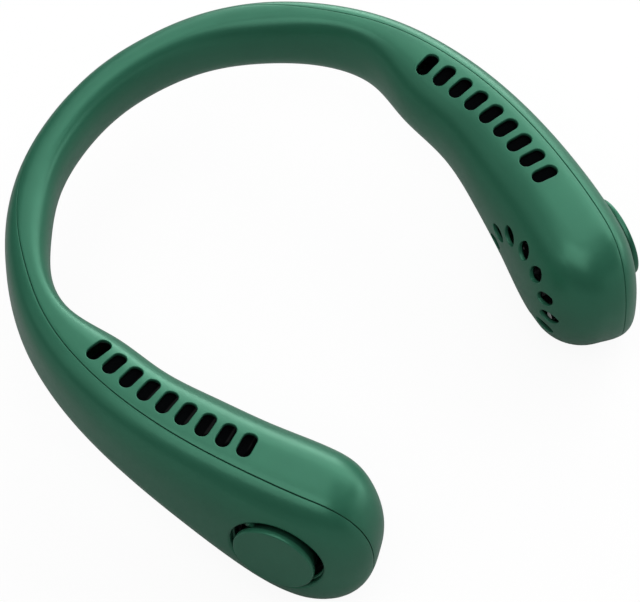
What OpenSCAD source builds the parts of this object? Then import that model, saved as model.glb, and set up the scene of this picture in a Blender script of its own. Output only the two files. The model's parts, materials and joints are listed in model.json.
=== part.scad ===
// Electric neck fan: a rigid C-shaped housing of two clamshell halves. Each end is a pod
// with a double-inlet blower. The blower pushes air along the arm to a row of slots on top.
// The hoop lies flat, mirror plane X = 0, back of the neck towards +Y, underside on Z = 0.

/* [Hoop] */
// Half width of the hoop's centre line
hoop_half_w = 80; // [76:0.5:84]
// Depth of the hoop's centre line, back of the neck to the tips
hoop_depth = 175; // [168:0.5:182]
// Half width of the band behind the neck
band_half_w = 6.5; // [6.4:0.1:7.2]
// Height of the band behind the neck
band_h = 22.5; // [22:0.5:25]
// Half width of a pod at its widest
pod_half_w = 18.5; // [18.2:0.1:19.4]
// Height of a pod at its deepest
pod_h = 54.5; // [53.5:0.5:57]
// How far the top surface dips towards the tips
tip_dip = 3; // [1:0.25:4]
// Depth of the flat land that the pods rest on
rest_cut = 0.5; // [0.3:0.1:0.8]

/* [Shells] */
// Wall thickness of the housing
wall = 1.6; // [1.4:0.1:1.9]
// Width of the seam between the two halves
seam_gap = 0.25; // [0.1:0.05:0.4]
// How far the outer half's lip reaches into the inner half
lip_reach = 1.2; // [0.8:0.1:1.6]
// Thickness of that lip
lip_t = 0.7; // [0.5:0.05:0.8]

/* [Air slots] */
// Number of slots in each arm
slot_count = 9; // [5:1:9]
// Place of the first slot, as a share of the arm's length from the back of the neck
slot_start_share = 0.5386; // [0.534:0.0005:0.548]
// Distance from the first slot to the last, as a share of the arm's length
slot_run_share = 0.2589; // [0.242:0.0005:0.268]
// Width of a slot along the arm
slot_w = 4.7; // [3.8:0.1:5.2]
// Length of a slot across the arm
slot_l = 9; // [7:0.1:9.6]
// How far the first slot sits inwards of the arm's centre line
slot_shift_first = 2.7; // [2:0.1:3.2]
// How far the last slot sits inwards of the arm's centre line
slot_shift_last = 1; // [0.6:0.1:2]

/* [Intakes] */
// Place of the outer intake, as a share of the arm's length from the back of the neck
intake_share = 0.8754; // [0.869:0.0005:0.881]
// Depth of the outer intake's centre below the top, as a share of the pod's height
intake_drop_share = 0.5028; // [0.492:0.001:0.513]
// Radius of the round opening in the outer half
intake_r = 15.4; // [15:0.1:15.8]
// Radius of the disc in that opening
cap_r = 13.5; // [12.4:0.1:13.6]
// Thickness of the disc
cap_t = 1.8; // [1.4:0.1:2.2]
// How far the disc stands proud of the housing
cap_proud = 1.5; // [0.6:0.1:1.8]
// Number of webs that hold the disc
web_count = 2; // [2:1:6]
// Place of the petal ring's centre, as a share of the arm's length from the back of the neck
petal_share = 0.8688; // [0.8645:0.0005:0.873]
// Depth of the petal ring's centre below the top, as a share of the pod's height
petal_drop_share = 0.54; // [0.53:0.001:0.551]
// Number of petal holes in the neck side of each pod
petal_count = 12; // [9:1:12]
// Radius of the ring of petals, to their middles
petal_ring_r = 16.8; // [16.4:0.1:17.2]
// Length of a petal
petal_l = 7.3; // [6:0.1:7.6]
// Width of a petal
petal_w = 5.4; // [4:0.1:5.8]
// Turn of each petal from straight out, in degrees
petal_turn = 17; // [0:1:25]

/* [Blower] */
// Depth of the wheel's axis below the top, as a share of the pod's height
axis_drop_share = 0.5156; // [0.51:0.001:0.524]
// Radius of the wheel
wheel_r = 16; // [15:0.1:16.4]
// Height of the blades on the outer side
blade_out_h = 8.4; // [7:0.1:8.8]
// Height of the blades on the neck side
blade_in_h = 5.6; // [5:0.1:5.8]
// Number of blades on each side
blade_count = 22; // [14:1:24]
// Thickness of a blade
blade_t = 0.7; // [0.6:0.05:0.8]
// Length of a blade, along the radius
blade_l = 3.6; // [3:0.1:3.8]
// Clearance between the wheel and its scroll
wheel_gap = 0.8; // [0.6:0.1:1]
// How much the scroll widens towards its outlet
scroll_growth = 2.4; // [1.6:0.1:2.8]
// Thickness of the scroll's plates and wall
scroll_t = 1; // [0.8:0.1:1.2]

/* [Motor] */
// Radius of the shaft
shaft_r = 1; // [0.9:0.05:1.2]
// Radial running clearance of the shaft in its sleeve
shaft_clear = 0.03; // [0.02:0.01:0.06]
// Wall of the bearing sleeve
sleeve_t = 1; // [0.8:0.1:1.2]
// Radius of the stator
stator_r = 9; // [8.6:0.1:9.2]
// Height of the stator's stack
stator_h = 3.6; // [3:0.1:3.8]
// Number of stator teeth
tooth_count = 9; // [6:3:12]
// Air gap between stator and magnets
air_gap = 0.5; // [0.3:0.05:0.6]
// Thickness of the magnet ring
magnet_t = 1; // [0.8:0.1:1.2]
// Wall of the rotor cup
cup_t = 0.6; // [0.5:0.05:0.8]
// Thickness of the plate under the motor
base_t = 1.4; // [1.2:0.1:1.6]

/* [Air guide] */
// Height of the duct under the slots
duct_h = 10.5; // [10:0.1:11]
// Thickness of the guide's floor and rails
guide_t = 1; // [0.8:0.1:1.2]
// Thickness of a turning vane
vane_t = 0.8; // [0.6:0.05:1]
// Height of a turning vane
vane_h = 5; // [4:0.1:6]
// Lean of the vanes towards the blower
vane_lean = 38; // [20:1:45]

/* [Power and controls] */
// Length of a pouch cell
cell_l = 30; // [26:0.5:31]
// Thickness of a pouch cell
cell_t = 5.4; // [4.8:0.1:5.6]
// Thickness of the foam pad under a cell
foam_t = 0.8; // [0.5:0.1:1]
// Place of a cell's middle, as a share of the arm's length from the back of the neck
cell_share = 0.1418; // [0.133:0.0005:0.15]
// Place of the button, as a share of the arm's length from the back of the neck
button_share = 0.6649; // [0.657:0.0005:0.673]
// Depth of the button's centre below the top, as a share of the pod's height
button_drop_share = 0.3486; // [0.34:0.001:0.357]
// Radius of the power button
button_r = 4; // [3.4:0.1:4.4]
// Travel of the power button
button_travel = 0.35; // [0.25:0.05:0.4]
// How far the button stands proud
button_proud = 0.6; // [0.45:0.05:0.9]
// Gap round the button
button_gap = 0.2; // [0.15:0.05:0.3]
// Length of the main board
board_l = 32; // [30:0.5:34]
// Height of the main board
board_h = 13; // [12:0.1:13.6]
// Thickness of the boards
board_t = 1; // [0.8:0.1:1.2]
// Radius of the insulated wires
wire_r = 0.55; // [0.45:0.05:0.6]

/* [Hidden] */
$fn = 48;

// Section exponents: a side of a section is a quarter of a superellipse
inner_exponent = 2.4;
outer_exponent = 3.3;
// Exponent of the rounded tip, seen from the side
tip_exponent = 2.15;
// Stations of the right arm, from the back of the neck to the tip
stations = 12;
spine_x_shares = [0, 0.26, 0.5, 0.71, 0.87, 0.97, 0.995, 0.99, 0.95, 0.875, 0.8, 0.74, 0.68];
spine_y_shares = [1, 0.985, 0.95, 0.885, 0.795, 0.695, 0.585, 0.465, 0.345, 0.23, 0.135, 0.055, 0];
// Swell of the inner and outer side from the band's half width to the pod's
inner_swell_shares = [0, 0.01, 0.05, 0.16, -0.04, -0.05, 0.71, 0.6, 0.9, 0.9, 1.03, 0.88, 0.56];
outer_swell_shares = [0, -0.01, -0.01, 0.03, 0.09, 0.22, 0.46, 0.6, 0.7, 0.87, 0.97, 0.79, 0.53];
// Drop of the underside from the band's height to the pod's
drop_shares = [0, 0.02, 0.05, 0.08, 0.115, 0.16, 0.24, 0.31, 0.49, 0.81, 1.02, 0.98, 0.89];
// Rise of the top surface, in tip dips
rise_shares = [0.2, 0.17, 0.12, 0.07, 0.05, 0.1, 0.2, 0.25, 0.25, 0.2, -0.05, -0.5, -1];
// Part of the stations that the rounded tip takes
tip_share = 1.7;
// Height of the widest point of each pod side, from the middle, as a share of the half height
inner_belly_share = 0.08;
outer_belly_share = -0.32;
// Lean of the sections, sideways for each unit of height
lean_share = -0.03;
// The belly grows from this station over this many stations
blend_start = 5;
blend_length = 3;
// Section angle of a side's widest line; a face of a shell never closes to a point, and its
// last ring stands at the face angle
side_phi = 90;
face_phi = 84;
// Section angle of the seam at each station. Behind the neck it lies on the outer side, then it
// comes up over the shoulder and follows the outer edge of the top round the tip
seam_angles = [62, 52, 32, 13, 3, 8, 13.5, 14.5, 15.5, 16.5, 17.5, 18.5, 19];

// Cubic B-spline through the stations; the far end is carried on straight
function spline_weights(f) = [pow(1 - f, 3), 3 * pow(f, 3) - 6 * f * f + 4,
  3 * f + 3 * f * f + 1 - 3 * pow(f, 3), pow(f, 3)] / 6;
function slope_weights(f) = [-3 * pow(1 - f, 2), 9 * f * f - 12 * f, 6 * f + 3 - 9 * f * f, 3 * f * f] / 6;
function station(list, i, sign) =
  i < 0 ? sign * list[-i] : i > stations ? 2 * list[stations] - list[stations - 1] : list[i];
function mixed(list, u, sign, slope) =
  let (i = min(floor(u), stations - 1), w = slope ? slope_weights(u - i) : spline_weights(u - i))
  station(list, i - 1, sign) * w[0] + station(list, i, sign) * w[1]
  + station(list, i + 1, sign) * w[2] + station(list, i + 2, sign) * w[3];
function value(list, u) = mixed(list, u, 1, false);

// How far the rounded tips reach past the ends of the centre line
tip_overhang = 3.3;
// The centre line of the right arm, its heading and its outward normal
spine_front = (tip_overhang - hoop_depth - band_half_w) / 2;
function spine(u) = [hoop_half_w * mixed(spine_x_shares, u, -1, false),
  spine_front + hoop_depth * mixed(spine_y_shares, u, 1, false)];
function heading(u) = let (d = [hoop_half_w * mixed(spine_x_shares, u, -1, true),
  hoop_depth * mixed(spine_y_shares, u, 1, true)]) d / norm(d);
function outward(u) = [-heading(u).y, heading(u).x];
// Station for a distance along the arm
spine_steps = 10 * stations;
spine_table = [for (i = 0, s = 0; i <= spine_steps;
  s = s + norm(spine((i + 1) / 10) - spine(i / 10)), i = i + 1) [s, i / 10]];
function at_length(s) = lookup(s, spine_table);
arm_length = spine_table[len(spine_table) - 1][0];
slot_start = slot_start_share * arm_length;
slot_pitch = slot_run_share * arm_length / (slot_count - 1);
intake_along = intake_share * arm_length;
petal_along = petal_share * arm_length;
cell_along = cell_share * arm_length;
button_along = button_share * arm_length;

// Half widths and heights of the section at a station
function inner_w(u) = band_half_w + (pod_half_w - band_half_w) * value(inner_swell_shares, u);
function outer_w(u) = band_half_w + (pod_half_w - band_half_w) * value(outer_swell_shares, u);
function top_z(u) = pod_h + tip_dip * value(rise_shares, u);
deepest_share = max([for (i = [0:spine_steps]) value(drop_shares, i / 10)]);
function bottom_z(u) =
  pod_h - band_h - (pod_h + rest_cut - band_h) * value(drop_shares, u) / deepest_share;
function blend(u) = let (q = min(max((u - blend_start) / blend_length, 0), 1)) q * q * (3 - 2 * q);
function power(x, e) = sign(x) * pow(abs(x), e);

// Last station before the rounded tip, and the length of a station there
tip_start = stations - tip_share;
tip_step = norm([hoop_half_w * mixed(spine_x_shares, tip_start, -1, true),
  hoop_depth * mixed(spine_y_shares, tip_start, 1, true)]);

// Place across and up, [across, height], of a surface point. phi runs from -90 on the neck
// side to 90 on the outer side, side is the share of the profile from -1 below to 1 on top,
// and depth is how far inside the outer surface the point lies
function section(u, phi, side, depth) =
  let (outer = phi > 0,
    e = 2 / (outer ? outer_exponent : inner_exponent),
    w = (outer ? outer_w(u) : inner_w(u)) - depth,
    m = power(sin(phi), e),
    k = power(cos(phi), e),
    high = top_z(u) - depth,
    low = bottom_z(u) + depth,
    h = (high - low) / 2,
    belly = (outer ? outer_belly_share : inner_belly_share) * blend(u),
    dz = h * (k * side + belly * abs(m) * (1 - k * abs(side))))
  [w * m + lean_share * dz, (high + low) / 2 + dz];
function placed(u, across_up) =
  let (c = spine(u), n = outward(u))
  [c.x + n.x * across_up.x, c.y + n.y * across_up.x, across_up.y];
// along is 0 on the arm and runs to 1 at the end of the tip
function skin(u, along, side, phi, depth) =
  let (e = 2 / (phi > 0 ? outer_exponent : inner_exponent),
    k = power(cos(phi), e),
    v = u + (tip_share - depth / tip_step) * k * along)
  placed(v, section(v, phi, side, depth));
// Place across of a side's surface at a height, by halving the section angle
function side_across(u, z, depth, side, low = 0, high = side_phi, turns = 16) =
  let (middle = (low + high) / 2,
    over = z > (top_z(u) + bottom_z(u)) / 2 ? 1 : -1,
    p = section(u, side * middle, over, depth))
  turns == 0 ? p.x
  : (p.y - z) * over > 0 ? side_across(u, z, depth, side, middle, high, turns - 1)
  : side_across(u, z, depth, side, low, middle, turns - 1);
// Distance of a place on the arm from the upright plane through the centre line at u0
function local_across(u0, u, across) = (spine(u) + outward(u) * across - spine(u0)) * outward(u0);
// Height of the top or underside at a place across, by halving the section angle
function height_at(u, across, depth, side, low = 0, high = side_phi, turns = 16) =
  let (middle = (low + high) / 2, p = section(u, sign(across) * middle, side, depth))
  turns == 0 ? p.y
  : abs(p.x) < abs(across) ? height_at(u, across, depth, side, middle, high, turns - 1)
  : height_at(u, across, depth, side, low, middle, turns - 1);

// One trip round the outline: top of the right arm, its tip, its underside, then the left arm
arm_steps = 32;
tip_steps = 12;
function arm_trip(n, t) = concat(
  [for (i = [0:n]) [tip_start * i / n, 0, 1]],
  [for (i = [1:t - 1]) let (a = 90 - 180 * i / t)
    [tip_start, power(cos(a), 2 / tip_exponent), power(sin(a), 2 / tip_exponent)]],
  [for (i = [n:-1:0]) [tip_start * i / n, 0, -1]]);
function whole_trip(n, t) = let (trip = arm_trip(n, t), last = len(trip) - 1) concat(
  [for (p = trip) [1, p[0], p[1], p[2]]],
  [for (i = [last - 1:-1:1]) [-1, trip[i][0], trip[i][1], trip[i][2]]]);
function seam_phi(u) = value(seam_angles, u);
// A ring is [section angle, share of the seam angle added, depth]
function ring_points(trip, ring) = [for (p = trip)
  let (q = skin(p[1], p[2], p[3], ring[0] + ring[1] * seam_phi(p[1]), ring[2])) [p[0] * q.x, q.y, q.z]];
// Rings joined by bands, and closed by a zip across the first and last ring
module ringed_solid(trip, rings, flip) {
  count = len(trip);
  half = count / 2;
  quarter = half / 2;
  last = (len(rings) - 1) * count;
  bands = [for (j = [0:len(rings) - 2], i = [0:count - 1])
    let (a = j * count + i, b = j * count + (i + 1) % count)
    each [[a, b, b + count], [a, b + count, a + count]]];
  zips = [for (side = [0, 1], i = [0:quarter - 1])
    let (a = side * half + i, b = side * half + i + 1,
      c = (side * half + half - i - 1) % count, d = (side * half + half - i) % count)
    each (b == c ? [[a, d, b]] : [[a, c, b], [a, d, c]])];
  far_zips = [for (f = zips) [last + f[0], last + f[2], last + f[1]]];
  faces = concat(bands, zips, far_zips);
  polyhedron([for (r = rings) each ring_points(trip, r)],
    flip ? [for (f = faces) [f[0], f[2], f[1]]] : faces);
}

// Section angles that half the seam's gap and the lip's reach take, and the depth of the lip
seam_turn = seam_gap / pod_half_w * side_phi;
lip_turn = lip_reach / pod_half_w * side_phi;
lip_depth = wall - lip_t - seam_gap;
// Section angles of the inner shell's rings on the neck side. The rings on the top of the inner
// shell, behind its lip and on the outer shell are shares of the turn from the seam
inner_phis = [-72, -60, -48, -36, -24, -18, -12, -6];
top_shares = [0.08, 0.4, 1];
behind_shares = [0.66, 0.33];
outer_shares = [0.83, 0.65, 0.47, 0.28];
shell_trip = whole_trip(arm_steps, tip_steps);

module body_flat() {
  translate([-hoop_half_w * 2, -hoop_depth, -pod_h]) cube([hoop_half_w * 4, hoop_depth * 2, pod_h]);
}

// Frame on the right arm: x back along the arm, y up, z outwards
module on_arm(u, z) {
  n = outward(u);
  translate([spine(u).x, spine(u).y, z]) rotate([90, 0, atan2(n.x, -n.y)]) children();
}
pod_u = at_length(intake_along);
disc_z = pod_h * (1 - intake_drop_share);
axis_z = pod_h * (1 - axis_drop_share);
module on_axis() {
  on_arm(pod_u, axis_z) children();
}

// The space inside the right arm, from a station to the tip, at a depth below the surface
space_phis = [-face_phi, -66, -48, -30, -12, 6, 24, 42, 60, 72, face_phi];
module arm_space(from, depth, steps) {
  trip = [for (p = arm_trip(steps, 10)) [from + p[0] * (tip_start - from) / tip_start, p[1], p[2]]];
  count = len(trip);
  half = (count - 1) / 2;
  last = (len(space_phis) - 1) * count;
  points = [for (a = space_phis, p = trip) skin(p[0], p[1], p[2], a, depth)];
  bands = [for (j = [0:len(space_phis) - 2], i = [0:count - 1])
    let (a = j * count + i, b = j * count + (i + 1) % count)
    each [[a, b + count, b], [a, a + count, b + count]]];
  zips = [for (i = [0:half - 1]) let (a = i, b = i + 1, c = count - 2 - i, d = count - 1 - i)
    each (b == c ? [[a, b, d]] : [[a, b, c], [a, c, d]])];
  far_zips = [for (f = zips) [last + f[0], last + f[2], last + f[1]]];
  polyhedron(points, concat(bands, zips, far_zips));
}
// Running space between inner pieces and the housing
seat_gap = 0.3;
space_depth = wall + seat_gap;
pod_space_start = 7.2;
module pod_space() {
  arm_space(pod_space_start, space_depth, 20);
}

function slot_shift(i) = slot_shift_first + (slot_shift_last - slot_shift_first) * i / (slot_count - 1);
module air_slots() {
  for (i = [0:slot_count - 1]) {
    u = at_length(slot_start + i * slot_pitch);
    translate([spine(u).x, spine(u).y, top_z(u) - slot_l])
      rotate([0, 0, atan2(outward(u).y, outward(u).x)])
      translate([-slot_shift(i), 0, 0]) obround(slot_l, slot_w, 2 * slot_l);
  }
}
// Bar with round ends along X, upwards from Z = 0
module obround(length, width, height) {
  reach = (length - width) / 2;
  translate([-reach, -width / 2, 0]) cube([2 * reach, width, height]);
  for (x = [-reach, reach]) translate([x, 0, 0]) cylinder(h = height, d = width);
}
// A leaf between two arcs, along Y
module leaf(length, width, height) {
  arc_r = (length * length + width * width) / (4 * width);
  intersection() {
    translate([arc_r - width / 2, 0, 0]) cylinder(h = height, r = arc_r);
    translate([width / 2 - arc_r, 0, 0]) cylinder(h = height, r = arc_r);
  }
}
module petal_holes() {
  on_arm(at_length(petal_along), pod_h * (1 - petal_drop_share))
    for (i = [0:petal_count - 1]) rotate([0, 0, 360 / petal_count * i])
      translate([0, petal_ring_r, -2 * pod_half_w]) rotate([0, 0, -petal_turn])
      leaf(petal_l, petal_w, 2 * pod_half_w);
}

module inner_shell() {
  last = len(inner_phis) - 1;
  rings = concat([[-face_phi, 0, 0]], [for (a = inner_phis) [a, 0, 0]],
    [for (t = top_shares) [0, t, 0]], [[0, 1, lip_depth]],
    [[-lip_turn - seam_turn, 1, lip_depth], [-lip_turn - seam_turn, 1, wall]],
    [for (t = behind_shares) [inner_phis[last] * (1 - t) - (lip_turn + seam_turn) * t, t, wall]],
    [for (i = [last:-1:0]) [inner_phis[i], 0, wall]], [[-face_phi, 0, wall]]);
  color("#38705C") difference() {
    ringed_solid(shell_trip, rings, true);
    body_flat();
    air_slots();
    mirror([1, 0, 0]) air_slots();
    petal_holes();
    mirror([1, 0, 0]) petal_holes();
  }
}
module outer_shell() {
  last = len(outer_shares) - 1;
  rings = concat([[face_phi, 0, 0]], [for (t = outer_shares) [face_phi * t, 1 - t, 0]],
    [[seam_turn, 1, 0], [seam_turn, 1, wall - lip_t], [-lip_turn, 1, wall - lip_t], [-lip_turn, 1, wall]],
    [for (i = [last:-1:0]) let (t = outer_shares[i]) [face_phi * t, 1 - t, wall]], [[face_phi, 0, wall]]);
  color("#2C5A48") difference() {
    union() {
      ringed_solid(shell_trip, rings, false);
      board_posts();
    }
    body_flat();
    intake_opening();
    mirror([1, 0, 0]) intake_opening();
    control_openings();
  }
}
module intake_opening() {
  on_arm(pod_u, disc_z) cylinder(h = 2 * pod_half_w, r = intake_r);
}

// The disc lies along the outer side: its tilt follows the surface above and below it
disc_face = side_across(pod_u, disc_z, 0, 1);
disc_low = side_across(pod_u, disc_z - cap_r, 0, 1);
disc_high = side_across(pod_u, disc_z + cap_r, 0, 1);
disc_tilt = atan2(disc_low - disc_high, 2 * cap_r);
// Rounding of the disc's rim
cap_edge = 0.7;
// The skirt under the disc, and the webs that carry it from the ring inside the housing. The
// first web lies at the web angle from the line along the arm
skirt_h = 4;
skirt_t = 1;
web_t = 1.2;
web_w = 2.4;
web_sink = 3;
web_rise = 2;
web_angle = 45;
cap_ring_w = 2;
cap_ring_gap = 0.3;
module on_disc(drop) {
  on_arm(pod_u, disc_z) rotate([-disc_tilt, 0, 0])
    translate([0, 0, disc_face + cap_proud - cap_t - drop]) children();
}
module intake_cap_right() {
  ring_r = intake_r + cap_ring_gap;
  web_in = cap_r - 1.5 * skirt_t;
  color("#2C5A48") on_disc(0) {
    rotate_extrude() {
      square([cap_r - cap_edge, cap_t]);
      square([cap_r, cap_t - cap_edge]);
      translate([cap_r - cap_edge, cap_t - cap_edge]) circle(cap_edge);
    }
    translate([0, 0, -skirt_h]) difference() {
      cylinder(h = skirt_h, r = cap_r - skirt_t);
      translate([0, 0, -skirt_h]) cylinder(h = 3 * skirt_h, r = cap_r - 2 * skirt_t);
    }
  }
  color("#2C5A48") intersection() {
    pod_space();
    on_disc(web_sink + web_t) {
      for (i = [0:web_count - 1])
        rotate([0, 0, web_angle + 360 / web_count * i]) translate([web_in, -web_w / 2, 0]) {
        cube([ring_r + cap_ring_w / 2 - web_in, web_w, web_t]);
        cube([intake_r - cap_ring_gap - web_in, web_w, web_t + web_rise]);
      }
      difference() {
        cylinder(h = web_t, r = ring_r + cap_ring_w);
        translate([0, 0, -web_t]) cylinder(h = 3 * web_t, r = ring_r);
      }
    }
  }
}

// Heights in the blower, from the outer side to the neck side
cap_room = 5;
web_plate_t = 1;
// Clearance of the pressed fits
fit_gap = 0.02;
scroll_top = side_across(pod_u, axis_z, wall, 1) - cap_room;
wheel_top = scroll_top - scroll_t - wheel_gap;
web_top = wheel_top - blade_out_h;
web_bottom = web_top - web_plate_t;
wheel_bottom = web_bottom - blade_in_h;
scroll_bottom = wheel_bottom - wheel_gap - scroll_t;
// Rotor cup, and the wheel's hub round it
cup_h = 7.4;
cup_boss_h = 1.6;
cup_r = stator_r + air_gap + magnet_t + fit_gap + cup_t;
cup_bottom = web_bottom - cup_h;
hub_t = 1;
hub_r = cup_r + fit_gap + hub_t;
shroud_t = 0.8;
// Lean of a blade from the radius
blade_slant = 24;
// Height of the windings over the stack
coil_over = 0.9;
magnet_h = 5;
magnet_seat = 0.6;
// Gap between the cup and the driver board
board_gap = 0.5;
motor_board_t = board_t;
board_top = cup_bottom - board_gap;
base_top = board_top - motor_board_t;
base_bottom = base_top - base_t;
// Boss of the motor's plate, pressed round the sleeve, with the shaft's stop in its floor
sleeve_r = shaft_r + shaft_clear + sleeve_t;
boss_t = 1.1;
boss_r = sleeve_r + fit_gap + boss_t;
stator_top = web_bottom - cup_t - coil_over - 2 * magnet_seat;
stator_bottom = stator_top - stator_h;
thrust_floor = 0.5;
shaft_rest = 0.2;
boss_top = stator_top;

module tube(h, outer, inner) {
  difference() {
    cylinder(h = h, r = outer);
    translate([0, 0, -h]) cylinder(h = 3 * h, r = inner);
  }
}
module blades(height) {
  for (i = [0:blade_count - 1]) rotate([0, 0, 360 / blade_count * i])
    translate([wheel_r - shroud_t / 2, 0, 0]) rotate([0, 0, blade_slant])
    translate([-blade_l, -blade_t / 2, 0]) cube([blade_l, blade_t, height]);
}
module impeller_right() {
  color("#3B3D3E") on_axis() {
    translate([0, 0, web_bottom]) tube(web_plate_t, wheel_r, shaft_r + fit_gap);
    translate([0, 0, web_bottom]) blades(wheel_top - web_bottom - shroud_t / 2);
    translate([0, 0, wheel_bottom + shroud_t / 2]) blades(web_top - wheel_bottom - shroud_t / 2);
    for (z = [wheel_bottom, wheel_top - shroud_t]) translate([0, 0, z])
      tube(shroud_t, wheel_r, wheel_r - shroud_t);
    translate([0, 0, cup_bottom]) tube(web_top - cup_bottom, hub_r, hub_r - hub_t);
  }
}
module rotor_cup_right() {
  color("#9EA3A6") on_axis() {
    translate([0, 0, cup_bottom]) tube(cup_h - fit_gap, cup_r, cup_r - cup_t);
    translate([0, 0, web_bottom - fit_gap - cup_t]) tube(cup_t, cup_r, shaft_r + fit_gap / 2);
    translate([0, 0, web_bottom - fit_gap - cup_boss_h])
      tube(cup_boss_h, shaft_r + cup_t, shaft_r + fit_gap / 2);
  }
}
module magnet_ring_right() {
  color("#55585A") on_axis() translate([0, 0, web_bottom - cup_t - magnet_seat - magnet_h])
    tube(magnet_h, stator_r + air_gap + magnet_t, stator_r + air_gap);
}
module shaft_right() {
  color("#C6CACC") on_axis() translate([0, 0, base_bottom + thrust_floor + shaft_rest])
    cylinder(h = web_top - base_bottom - thrust_floor - shaft_rest, r = shaft_r);
}
module bearing_sleeve_right() {
  color("#B08D4C") on_axis() translate([0, 0, base_bottom + thrust_floor + shaft_rest])
    tube(boss_top - base_bottom - thrust_floor - shaft_rest, sleeve_r, shaft_r + shaft_clear);
}
// Stator teeth, their shoes and the yoke
tooth_w = 1.3;
shoe_t = 1;
yoke_t = 1.5;
core_r = boss_r + fit_gap;
module stator_core_right() {
  color("#80868A") on_axis() translate([0, 0, stator_bottom]) {
    tube(stator_h, core_r + yoke_t, core_r);
    for (i = [0:tooth_count - 1]) rotate([0, 0, 360 / tooth_count * i])
      translate([core_r + yoke_t / 2, -tooth_w / 2, 0])
      cube([stator_r - shoe_t / 2 - core_r - yoke_t / 2, tooth_w, stator_h]);
    difference() {
      tube(stator_h, stator_r, stator_r - shoe_t);
      for (i = [0:tooth_count - 1]) rotate([0, 0, 360 / tooth_count * (i + 0.5)])
        translate([stator_r - 2 * shoe_t, -tooth_w / 2, -stator_h])
        cube([3 * shoe_t, tooth_w, 3 * stator_h]);
    }
  }
}
coil_gap = 0.05;
module motor_coils_right() {
  inside = core_r + yoke_t + 3 * coil_gap;
  pack = min(coil_over, inside * tan(180 / tooth_count) - tooth_w / 2 - 2 * coil_gap);
  reach = stator_r - shoe_t - 3 * coil_gap;
  outside = sqrt(reach * reach - pow(tooth_w / 2 + pack, 2));
  color("#B3703A") on_axis() translate([0, 0, stator_bottom])
    for (i = [0:tooth_count - 1]) rotate([0, 0, 360 / tooth_count * i]) difference() {
      translate([inside, -tooth_w / 2 - pack, -coil_over])
        cube([outside - inside, tooth_w + 2 * pack, stator_h + 2 * coil_over]);
      translate([0, -tooth_w / 2 - coil_gap, -coil_gap])
        cube([stator_r, tooth_w + 2 * coil_gap, stator_h + 2 * coil_gap]);
    }
}
// The motor's plate: a disc with three arms that end in screw eyes, on three legs
base_r = 8;
arm_count = 3;
arm_turn = 112;
arm_w = 3.2;
arm_eye = 0.4;
boss_screw_r = 0.7;
scroll_boss_r = 1.5;
screw_place = wheel_r - 0.4 * scroll_boss_r;
leg_r = 1.4;
leg_place = petal_ring_r - petal_l / 2 - 2.5 * leg_r;
screw_clear = 0.1;
module round_arms() {
  for (i = [0:arm_count - 1]) rotate([0, 0, arm_turn + 360 / arm_count * i]) children();
}
// Height of a leg's foot: the nearest place of the neck side's wall under the leg's rim
function leg_foot(turn) = max([for (a = [0:45:315])
  let (x = leg_place * cos(turn) + leg_r * cos(a), y = leg_place * sin(turn) + leg_r * sin(a),
    u = at_length(intake_along - x))
  local_across(pod_u, u, side_across(u, axis_z + y, space_depth, -1))]);
module motor_base_right() {
  color("#2F3133") on_axis() difference() {
    union() {
      for (i = [0:arm_count - 1]) let (turn = arm_turn + 360 / arm_count * i) rotate([0, 0, turn])
        translate([leg_place, 0, leg_foot(turn)])
        cylinder(h = base_bottom + base_t / 2 - leg_foot(turn), r = leg_r);
      translate([0, 0, base_bottom]) cylinder(h = base_t, r = base_r);
      translate([0, 0, base_bottom]) cylinder(h = boss_top - base_bottom, r = boss_r);
      round_arms() translate([0, -arm_w / 2, base_bottom]) cube([screw_place, arm_w, base_t]);
      round_arms() translate([screw_place, 0, base_bottom])
        cylinder(h = base_t, r = arm_w / 2 + arm_eye);
    }
    translate([0, 0, base_bottom + thrust_floor])
      cylinder(h = boss_top - base_bottom, r = sleeve_r + fit_gap);
    round_arms() translate([screw_place, 0, base_bottom - base_t])
      cylinder(h = 3 * base_t, r = boss_screw_r + screw_clear);
  }
}
module motor_board_right() {
  color("#1E6B3C") on_axis() translate([0, 0, base_top]) tube(motor_board_t, base_r, boss_r + screw_clear);
}

// The scroll opens towards the back of the arm, between two angles
outlet_from = 22;
outlet_to = 74;
volute_steps = 40;
volute_end = 360 + outlet_from;
function volute_r(a) =
  wheel_r + wheel_gap + scroll_growth * (a - outlet_to) / (volute_end - outlet_to);
function volute_point(extra, i) =
  let (a = outlet_to + (volute_end - outlet_to) * i / volute_steps)
  (volute_r(a) + extra) * [cos(a), sin(a)];
function volute(extra) = [for (i = [0:volute_steps]) volute_point(extra, i)];
module scroll_plate(inlet_r) {
  difference() {
    linear_extrude(scroll_t) polygon(volute(scroll_t));
    translate([0, 0, -scroll_t]) cylinder(h = 3 * scroll_t, r = inlet_r);
  }
}
inlet_gap = 2.2;
module blower_scroll_right() {
  wall_points = concat(volute(scroll_t), [for (i = [volute_steps:-1:0]) volute_point(0, i)]);
  post_h = scroll_bottom - base_top;
  color("#26292B") intersection() {
    pod_space();
    on_axis() {
      translate([0, 0, scroll_bottom])
        linear_extrude(scroll_top - scroll_bottom) polygon(wall_points);
      translate([0, 0, scroll_top - scroll_t]) scroll_plate(wheel_r - inlet_gap);
      difference() {
        union() {
          translate([0, 0, scroll_bottom]) scroll_plate(hub_r + inlet_gap);
          round_arms() translate([screw_place, 0, base_top])
            cylinder(h = post_h + scroll_t / 2, r = scroll_boss_r);
        }
        round_arms() translate([screw_place, 0, base_top - scroll_t])
          cylinder(h = post_h + scroll_t * 1.7, r = boss_screw_r + screw_clear / 2);
      }
    }
  }
}
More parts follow.
